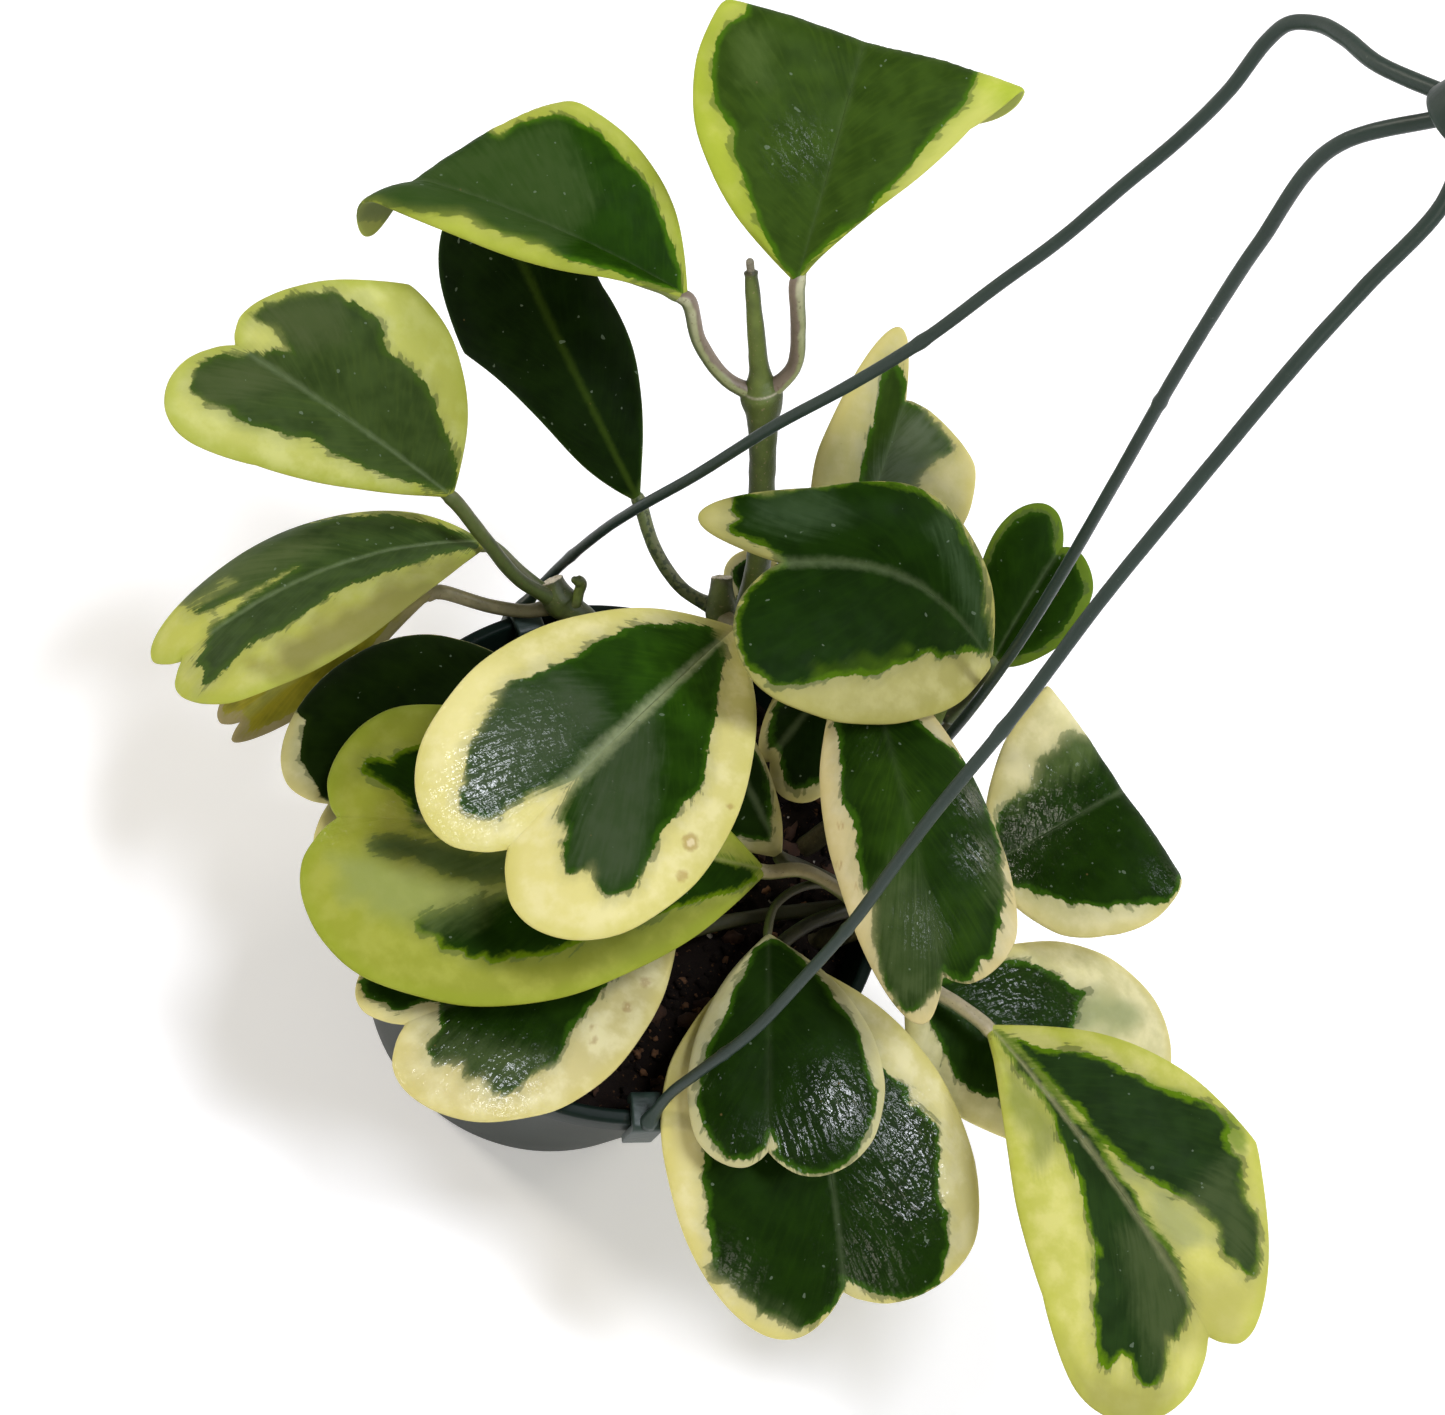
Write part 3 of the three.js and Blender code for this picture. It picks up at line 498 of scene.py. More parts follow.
def lump(middle, size, dice, rough=0.35):
    """A small uneven lump: a ball of facets, stretched and pushed about by noise."""
    work = bmesh.new()
    bmesh.ops.create_icosphere(work, subdivisions=2, radius=1.0)
    turn_by = dice.uniform(0, FULL_TURN)
    axis = Vector((dice.uniform(-1, 1), dice.uniform(-1, 1), 0.5))
    turn_to = Matrix.Rotation(turn_by, 3, axis)
    offset = Vector((
        dice.uniform(0, NOISE_SPAN), dice.uniform(0, NOISE_SPAN), dice.uniform(0, NOISE_SPAN),
    ))
    points = []
    for vertex in work.verts:
        push = 1 + rough * noise.noise(vertex.co * FACET_NOISE + offset) * 2
        place_at = Vector((vertex.co.x * size[0], vertex.co.y * size[1], vertex.co.z * size[2])) * push
        points.append(np.array(turn_to @ place_at) + middle)
    faces = [tuple(v.index for v in f.verts) for f in work.faces]
    work.free()
    return points, faces


def scatter(name, material, count, sizes, flat, seed, hub=(0, 0), spread=1.0):
    """Many lumps on the ground as one piece."""
    dice = random.Random(seed)
    points = []
    faces = []
    for _ in range(count):
        angle = dice.uniform(0, 2 * math.pi)
        away = math.sqrt(dice.random()) * (soil_radius - WALL_CLEAR) * spread
        x = hub[0] + away * math.cos(angle)
        y = hub[1] + away * math.sin(angle)
        size = dice.uniform(*sizes)
        if math.hypot(x, y) > soil_radius - size - 1:
            continue
        middle = np.array([x, y, ground_height(x, y) + size * flat * SUNK_SHARE])
        extent = (size, size * dice.uniform(LEAST_WIDE, 1), size * flat)
        new_points, new_faces = lump(middle, extent, dice)
        faces += [tuple(i + len(points) for i in f) for f in new_faces]
        points += new_points
    return make_piece(name, points, faces, material, "soil")


# Each loose material: its two tones, the size of its mottle and the depth of its relief in mm.
LOOSE = {
    "bark chips": ("#170b05", "#4a2c17", 2.5, 0.3),
    "coir crumbs": ("#2b190d", "#7d5532", 1.4, 0.3),
    "perlite crumbs": ("#7b716a", "#d9d2c8", 1.2, 0.2),
}
loose = {}
for name, (dark_tone, light_tone, mottle_mm, deep_mm) in LOOSE.items():
    loose[name], tree, shader = new_material(name)
    place = add_node(tree, "TexCoord").outputs["Object"]
    mottle = add_node(tree, "TexNoise", {"Vector": place, "Scale": 1 / (mottle_mm * MM), "Detail": 4.0})
    tone = add_node(tree, "Mix", {SHARE: mottle, FIRST: linear(dark_tone), SECOND: linear(light_tone)})
    pits = add_node(tree, "TexNoise", {"Vector": place, "Scale": 1 / (0.8 * MM), "Detail": 4.0})
    relief = add_node(tree, "Bump", {"Height": pits, "Distance": deep_mm * MM})
    feed(shader, {"Base Color": tone, "Normal": relief, "Roughness": 0.88})

scatter("soil_crumbs", peat, 420, (0.9, 2.2), 0.8, CRUMB_SEED)
scatter("soil_fibre", loose["coir crumbs"], 260, (0.5, 1.5), 0.7, CRUMB_SEED + 3)
scatter("soil_bark", loose["bark chips"], 90, (1.6, 4.2), 0.45, CRUMB_SEED + 1)
scatter("soil_perlite", loose["perlite crumbs"], 110, (0.35, 1.0), 0.8, CRUMB_SEED + 2)
print("loose soil scattered")

# %% [markdown]
# ## Round limbs
# Stems, leaf stalks and the hanger's wires are all round limbs along a smooth line. A bevelled
# curve could draw them, but a mesh tube lets each have its own swellings and its own values along
# the length, such as how woody or how dry it is.

# %% A smooth line and a tube round it


def smooth_line(points, steps):
    """A centripetal Catmull-Rom line through points, with even steps along its parameter."""
    p = [np.asarray(point, dtype=float) for point in points]
    p = [2 * p[0] - p[1], *p, 2 * p[-1] - p[-2]]
    spans = len(points) - 1
    line = []
    for step in range(steps + 1):
        place_at = step / steps * spans
        low = min(int(place_at), spans - 1)
        share = place_at - low
        a, b, c, d = p[low:low + 4]
        gaps = [max(np.linalg.norm(b - a) ** 0.5, 1e-4), max(np.linalg.norm(c - b) ** 0.5, 1e-4),
                max(np.linalg.norm(d - c) ** 0.5, 1e-4)]
        start = ((b - a) / gaps[0] - (c - a) / (gaps[0] + gaps[1]) + (c - b) / gaps[1]) * gaps[1]
        end = ((c - b) / gaps[1] - (d - b) / (gaps[1] + gaps[2]) + (d - c) / gaps[2]) * gaps[1]
        line.append(b + start * share + (-3 * b + 3 * c - 2 * start - end) * share ** 2
                    + (2 * b - 2 * c + start + end) * share ** 3)
    return np.array(line)


def near(distance, reach):
    """One at no distance, fading softly to nothing beyond a reach."""
    return np.exp(-(distance / reach) ** 2)


ROUND_END = ((0.5, 0.87), (0.85, 0.53), (0.98, 0.17))
WOBBLE_SIZE = 4.5
GROOVE_SHARP = 4
LEAST_SIDE = 0.2
CUT_END = ((0.1, 0.97), (0.14, 0.86), (0.06, 0.74), (0.02, 0.3))


def tube(line, radii, sides, wobble=0.0, ends=((), ()), first_side=None, groove=0.0):
    """A tube's points and faces; an end's caps are rings that close it, as shares of its radius."""
    ways = np.gradient(line, axis=0)
    ways /= np.linalg.norm(ways, axis=1)[:, None]
    marks = np.linspace(0, 1, len(line))
    rings = [(line[i], radii[i], ways[i], marks[i], 0.0) for i in range(len(line))]
    low_caps = [(line[0] - ways[0] * radii[0] * far, radii[0] * wide, ways[0], 0.0, 1.0)
                for far, wide in ends[0]]
    top_caps = [(line[-1] + ways[-1] * radii[-1] * far, radii[-1] * wide, ways[-1], 1.0, 1.0)
                for far, wide in ends[1]]
    rings = low_caps[::-1] + rings + top_caps
    side = np.cross(rings[0][2], [0.0, 0.0, 1.0]) if first_side is None else np.array(first_side)
    if np.linalg.norm(side) < LEAST_SIDE:
        side = np.cross(rings[0][2], [1.0, 0.0, 0.0])
    points = []
    values = []
    for centre, size, way, mark, cap in rings:
        side = side - way * (side @ way)
        side = side / np.linalg.norm(side)
        other = np.cross(way, side)
        for corner in range(sides):
            angle = corner / sides * 2 * math.pi
            out = side * math.cos(angle) + other * math.sin(angle)
            push = 1 - groove * max(0.0, math.cos(angle)) ** GROOVE_SHARP
            if wobble:
                push += wobble * noise.noise(Vector(centre + out * size) / WOBBLE_SIZE)
            points.append(centre + out * size * push)
            values.append((mark, math.cos(angle), cap))
    for ring in (rings[0], rings[-1]):
        points.append(ring[0])
        values.append((ring[3], 0.0, ring[4]))
    return np.array(points), turned_faces(len(rings), sides, True), np.array(values)


check_line = smooth_line([(0, 0, 0), (0, 0, 10), (5, 0, 20)], 12)
print("a test line ends at", check_line[-1])

# %% [markdown]
# ## The hanger
# Three wires clip over the rim and meet in a boss with a hook. They are moulded polyethylene: dyed
# grey green, a little waxy, with pale scuffs and faint flow lines along their length.

# %% Polyethylene
hanger_plastic, tree, shader = new_material("moulded polyethylene, grey green")
place = add_node(tree, "TexCoord").outputs["Object"]
cloudy = add_node(tree, "TexNoise", {"Vector": place, "Scale": 1 / (14 * MM), "Detail": 3.0})
tone = add_node(tree, "Mix", {SHARE: cloudy, FIRST: linear("#1b2a24"), SECOND: linear("#2b3b34")})
scuffs = add_node(tree, "TexNoise", {
    "Vector": place, "Scale": 1 / (1.1 * MM), "Detail": 5.0, "Roughness": 0.75,
})
scuff = add_node(tree, "MapRange", {"Value": scuffs, "From Min": 0.63, "From Max": 0.74, "To Max": 0.3})
tone = add_node(tree, "Mix", {SHARE: scuff, FIRST: tone, SECOND: linear("#6f7c70")})
flow = add_node(tree, "TexNoise", {"Vector": place, "Scale": 1 / (1.6 * MM), "Detail": 3.0})
relief = add_node(tree, "Bump", {"Height": flow, "Distance": 0.1 * MM})
feed(shader, {
    "Base Color": tone, "Normal": relief, "Roughness": 0.42, "Specular IOR Level": 0.3, "IOR": 1.51,
})
print("hanger plastic ready")

# %% The arms and their clips
WIRE_DIAMETER = 2.8
WIRE_SIDES = 18
WIRE_STEPS = 150
WIRE_WOBBLE = 0.03
FOOT_IN = 1
EDGE_FROM = 35
NIB_HIGH = 0.22
NIB_LONG = 0.8
FOOT_SWELL = 1.0
FOOT_LONG = 4.0
SEAT_GAP = 0.3
TAB_WIDTH = 8
TAB_THICKNESS = 2.2
TAB_DROP = 12
TAB_REACH = 8
TAB_LIP = 3.6
BOSS_DIAMETER = 15
ARM_SOCKET = 3
BOSS_SEEN = (1478, 108, 218)
boss = seen(BOSS_SEEN)

# Each arm: its clip's angle round the rim, the places it runs through, and the pixels of its nibs.
ARMS = {
    "hanger_arm_left": (143.5, [
        (549, 577, -19), (601, 532, 8), (636, 509, 25), (696, 475, 48), (776, 425, 75),
        (850, 385, 95), (924, 340, 112), (998, 285, 128), (1061, 239, 139), (1122, 187, 149),
        (1184, 135, 159), (1230, 89, 168), (1266, 42, 176), (1288, 24, 181), (1318, 24, 187),
        (1345, 38, 194), (1378, 64, 202)], [(574, 559), (924, 340)]),
    "hanger_arm_right": (43.5, [
        (954, 730, 11), (1009, 657, 47), (1055, 585, 77), (1116, 480, 113), (1171, 383, 141),
        (1214, 312, 159), (1260, 242, 177), (1334, 147, 200)], [(1161, 400)]),
    "hanger_arm_front": (-56.2, [
        (668, 1096, 40), (696, 1074, 48), (752, 1032, 62), (808, 973, 77), (853, 922, 89),
        (890, 872, 100), (932, 816, 112), (1017, 712, 133), (1101, 600, 152), (1199, 480, 172),
        (1306, 352, 192), (1367, 285, 201), (1444, 202, 212)], [(723, 1053), (846, 930), (1000, 733)]),
}


def rounded_plate(outline, thick, material, name, node, place_in, bevel=0.55):
    """A plate from an outline, with its edges rounded as a moulding's are."""
    work = bmesh.new()
    low = [work.verts.new((x, -thick / 2, y)) for x, y in outline]
    face = work.faces.new(low)
    grown = bmesh.ops.extrude_face_region(work, geom=[face])
    top = [v for v in grown["geom"] if isinstance(v, bmesh.types.BMVert)]
    bmesh.ops.translate(work, verts=top, vec=(0, thick, 0))
    bmesh.ops.recalc_face_normals(work, faces=work.faces)
    sharp = [e for e in work.edges if e.calc_face_angle(0) > math.radians(EDGE_FROM)]
    bmesh.ops.bevel(
        work, geom=sharp, offset=bevel, segments=3, profile=0.6, affect="EDGES", clamp_overlap=True,
    )
    points = [np.array(place_in @ v.co) for v in work.verts]
    work.verts.index_update()
    faces = [tuple(v.index for v in f.verts) for f in work.faces]
    work.free()
    return make_piece(name, points, faces, material, node)


def curved_corner(start, corner, end, steps=4):
    """A rounded corner as a parabola through an outline's corner."""
    shares = [step / steps for step in range(steps + 1)]
    return [((1 - t) ** 2 * start[0] + 2 * t * (1 - t) * corner[0] + t * t * end[0],
             (1 - t) ** 2 * start[1] + 2 * t * (1 - t) * corner[1] + t * t * end[1]) for t in shares]


outside = RIM_DIAMETER / 2 + SEAT_GAP + TAB_THICKNESS / 2
tab_top = POT_HEIGHT + SEAT_GAP + TAB_THICKNESS / 2
half = TAB_THICKNESS / 2
inner = outside - TAB_REACH
over = tab_top + half
under = tab_top - half
tab_outline = [
    (inner - half, tab_top - TAB_LIP),
    *curved_corner((inner - half, tab_top), (inner - half, over), (inner + half, over)),
    *curved_corner((outside - half, over), (outside + half, over), (outside + half, under)),
    (outside + half, tab_top - TAB_DROP),
    (outside - half, tab_top - TAB_DROP),
    (outside - half, under),
    (inner + half, under),
    (inner + half, tab_top - TAB_LIP),
]

for name, (tab_angle, through, nibs) in ARMS.items():
    turn_by = math.radians(tab_angle)
    outward = np.array([math.cos(turn_by), math.sin(turn_by), 0.0])
    foot = outward * (outside - FOOT_IN) + np.array([0, 0, tab_top])
    last = seen(through[-1])
    to_boss = boss - last
    reach = np.linalg.norm(to_boss)
    end = last + to_boss / reach * (reach - BOSS_DIAMETER / 2 + ARM_SOCKET)
    line = smooth_line([foot, *[seen(p) for p in through], end], WIRE_STEPS)
    radii = np.full(len(line), WIRE_DIAMETER / 2)
    shown = pixels(line)
    for nib in nibs:
        gaps = np.linalg.norm(shown - np.array(nib), axis=1)
        nearest = int(gaps.argmin())
        away = np.linalg.norm(line - line[nearest], axis=1)
        radii = radii + NIB_HIGH * near(away, NIB_LONG)
    away = np.linalg.norm(line - line[0], axis=1)
    radii = radii + FOOT_SWELL * near(away, FOOT_LONG)
    points, faces, _ = tube(line, radii, WIRE_SIDES, wobble=WIRE_WOBBLE)
    make_piece(name + "_wire", points, faces, hanger_plastic, name)
    turn_tab = Matrix.Rotation(turn_by, 4, "Z")
    rounded_plate(tab_outline, TAB_WIDTH, hanger_plastic, name + "_clip", name, turn_tab)
print("boss stands at", boss.round(1))

# %% The boss and the hook
HOOK_DIAMETER = 4.2
HOOK_BEND_DIAMETER = 30
HOOK_SHANK = 32
HOOK_SWEEP = 215
HOOK_STEPS = 14
HOOK_LINE_STEPS = 110
HOOK_SIDES = 20
HOOK_SWELL = 0.5
HOOK_SWELL_LONG = 6
HOOK_TIP_RINGS = 8
HOOK_TIP_SLIM = 0.86
BOSS_HEIGHT = 9

lean = Vector(boss - np.array([0, 0, POT_HEIGHT])).normalized()
turn_up = Vector((0, 0, 1)).rotation_difference(lean).to_matrix()
boss_profile = [
    (0.3, -BOSS_HEIGHT / 2), (5.8, -BOSS_HEIGHT / 2),
    *arc((BOSS_DIAMETER * 0.5 - 1.3, -BOSS_HEIGHT / 2 + 1.2), 1.2, -90, 5, 5),
    *arc((BOSS_DIAMETER * 0.4 - 0.9, BOSS_HEIGHT / 2 - 1.2), 1.2, 5, 90, 5),
    (3.4, BOSS_HEIGHT / 2), (0.3, BOSS_HEIGHT / 2),
]
boss_points, boss_faces = turned(boss_profile, 64)
boss_points = boss_points @ np.array(turn_up).T + boss
make_piece("hanger_boss", boss_points, boss_faces, hanger_plastic, "hanger_hub")
bend = HOOK_BEND_DIAMETER / 2
route = [(0, 0), (0, HOOK_SHANK / 3), (0, HOOK_SHANK * 2 / 3)]
for step in range(HOOK_STEPS + 1):
    angle = math.radians(180 - HOOK_SWEEP * step / HOOK_STEPS)
    route.append((bend + math.cos(angle) * bend, HOOK_SHANK + math.sin(angle) * bend))
hook_places = [np.array(turn_up @ Vector((out, 0, high))) + boss for out, high in route]
hook_line = smooth_line(hook_places, HOOK_LINE_STEPS)
from_foot = np.linalg.norm(hook_line - hook_line[0], axis=1)
hook_radii = HOOK_DIAMETER / 2 * (1 + HOOK_SWELL * near(from_foot, HOOK_SWELL_LONG))
hook_radii[-HOOK_TIP_RINGS:] *= np.linspace(1, HOOK_TIP_SLIM, HOOK_TIP_RINGS)
points, faces, _ = tube(hook_line, hook_radii, HOOK_SIDES, wobble=WIRE_WOBBLE, ends=((), ROUND_END))
make_piece("hanger_hook", points, faces, hanger_plastic, "hanger_hub")
print("hook reaches", round(float(hook_line[:, 2].max()), 1), "mm up")

# %% [markdown]
# ## Stems
# The stems are round and fleshy, green where they are young and grey brown where they are old. They
# swell at each node, where a pair of leaf stalks springs under a thin pale scar. Old cuts dried to a
# pale disc. Each could be carved by hand, but here each stem is one tube whose radius carries the
# swellings, and values along it tell bark from green skin.

# %% Where the stems run
SOIL_BELOW = 26
# Each stem: where it leaves the soil, the places it runs through, and its diameters on the way.
STEMS = {
    "stem_tall": ((0, 52), [(756, 575, -2), (762, 480, 19), (762, 395, 32), (760, 378, 35),
                          (756, 330, 44), (750, 262, 56)],
                  (6.8, 6.8, 7.0, 8.0, 5.4, 4.4, 3)),
    "stem_back": ((6, 36), [(738, 690, -10), (722, 612, 0), (722, 578, 2)], (6, 6, 6, 5.6)),
    "stem_left": ((-34, 34), [(590, 622, -16), (562, 603, -14), (552, 581, -12)], (5.6, 5.8, 6, 5.4)),
    "stem_right": ((38, 32), [(862, 800, -10), (893, 757, -6), (928, 722, 0), (952, 698, 5)],
                   (6, 6, 6, 6, 5)),
    "stem_front": ((46, 12), [(850, 930, -10), (868, 905, -6), (880, 880, 0)], (6.4, 6.2, 6, 5)),
}
CUT_TOPS = ("stem_back", "stem_left")

# %% Young skin and old bark
green_bark, tree, shader = new_material("waxy green stem with corky spots")
place = add_node(tree, "TexCoord").outputs["Object"]
age = add_node(tree, "Attribute", attribute_name="age")
cut_face = add_node(tree, "Attribute", attribute_name="cut")
painted_lit_side = add_node(tree, "Attribute", attribute_name="painted_lit_side")
# Each mottle: its size in mm, its detail, its two tones.
MOTTLES = {
    "young": (4.0, 4.0, "#3c4b18", "#6b7a32"),
    "woody": (1.4, 4.0, "#262110", "#5b5638"),
    "pith": (0.6, 6.0, "#2a1a08", "#f4ead0"),
}
mottled = {}
for name, (size_mm, detail, dark_tone, light_tone) in MOTTLES.items():
    mottle = add_node(tree, "TexNoise", {"Vector": place, "Scale": 1 / (size_mm * MM), "Detail": detail})
    mottled[name] = add_node(tree, "Mix", {
        SHARE: mottle, FIRST: linear(dark_tone), SECOND: linear(light_tone),
    })
patches = add_node(tree, "TexNoise", {"Vector": place, "Scale": 1 / (3 * MM), "Detail": 4.0})
ripe = add_node(tree, "Math", {0: patches, 1: 0.5, 2: age})
ripe = add_node(tree, "MapRange", {"Value": ripe, "From Min": 0.55, "From Max": 0.95})
# Painted shade: the sides of a stem turned away from the lens are painted a darker green.
away = add_node(tree, "MapRange", {"Value": painted_lit_side, "From Min": 0.85, "From Max": 0.0, "To Max": 0.75})
pores = add_node(tree, "TexNoise", {"Vector": place, "Scale": 1 / (0.9 * MM), "Detail": 2.0})
corky = add_node(tree, "MapRange", {"Value": pores, "From Min": 0.66, "From Max": 0.72, "To Max": 0.5})
tone = mottled["young"]
for share, laid in (
    (ripe, mottled["woody"]), (away, linear("#232b10")), (corky, linear("#8a7858")),
    (cut_face, mottled["pith"]),
):
    tone = add_node(tree, "Mix", {SHARE: share, FIRST: tone, SECOND: laid})
skin_grain = add_node(tree, "TexNoise", {
    "Vector": place, "Scale": 1 / (1.2 * MM), "Detail": 4.0, "Roughness": 0.6,
})
relief = add_node(tree, "Bump", {"Height": skin_grain, "Distance": 0.2 * MM})
feed(shader, {
    "Base Color": tone, "Normal": relief, "Roughness": 0.52, "IOR": 1.45, "Subsurface Weight": 0.06,
    "Subsurface Radius": (0.002, 0.003, 0.001), "Subsurface Scale": 0.5,
})
print("stem skin ready, mottles:", list(mottled))

# %% [markdown]
# ## The leaves' shape
# Each leaf is a thick heart on a short round stalk. Its form comes from four seen places: the stalk's
# end, the notch and the two widest points. Modelling each by hand would take days, and a scatter of
# one leaf would not give this plant. So one bent heart surface is stretched through the four places,
# arched along the midrib, swollen in each half and, on three leaves, rolled back over a line.

# %% The outline of half a leaf
HALF_OUTLINE = np.array([
    (0, 0), (0.27, 0.095), (0.52, 0.194), (0.73, 0.307), (0.91, 0.443), (1, 0.6), (1, 0.73),
    (0.91, 0.896), (0.73, 1.01), (0.5, 1.075), (0.28, 1.085), (0.1, 1.045), (0, 1),
])
WIDEST_AT = 0.66
LEAF_THICKNESS = 2.6
EDGE_THICKNESS = 1.3
MIDRIB_EXTRA = 0.9
RIB_LEAN = 1.6
FOLD_MOST = 2.2
LOBES_FROM = 0.6
TILT_LIMIT = 1.1
CROWN_PEAK = 2.6
RIPPLE_PITCH = 7.3
RIPPLE_SHIFT = 1.9
LEAF_STEPS = 92
LEAF_ACROSS = 26


def outline_at(part):
    """The outline's point at a share of its length, on a smooth curve through the marks."""
    last_mark = len(HALF_OUTLINE) - 1
    place_at = part * last_mark
    low = min(int(place_at), last_mark)
    t = place_at - low
    a, b, c, d = (HALF_OUTLINE[min(max(i, 0), last_mark)] for i in range(low - 1, low + 3))
    start, end = (c - a) / 2, (d - b) / 2
    return ((2 * b - 2 * c + start + end) * t ** 3 + (3 * c - 3 * b - 2 * start - end) * t ** 2
            + start * t + b)


PLAIN_LEAF = {
    "arch": 3, "crown": (2, 2), "lobe": (0, 0), "flare": (0, 0), "slim": (0, 0), "sway": 0, "wave": 0.8,
    "fold": None, "stalk": 4.2,
}
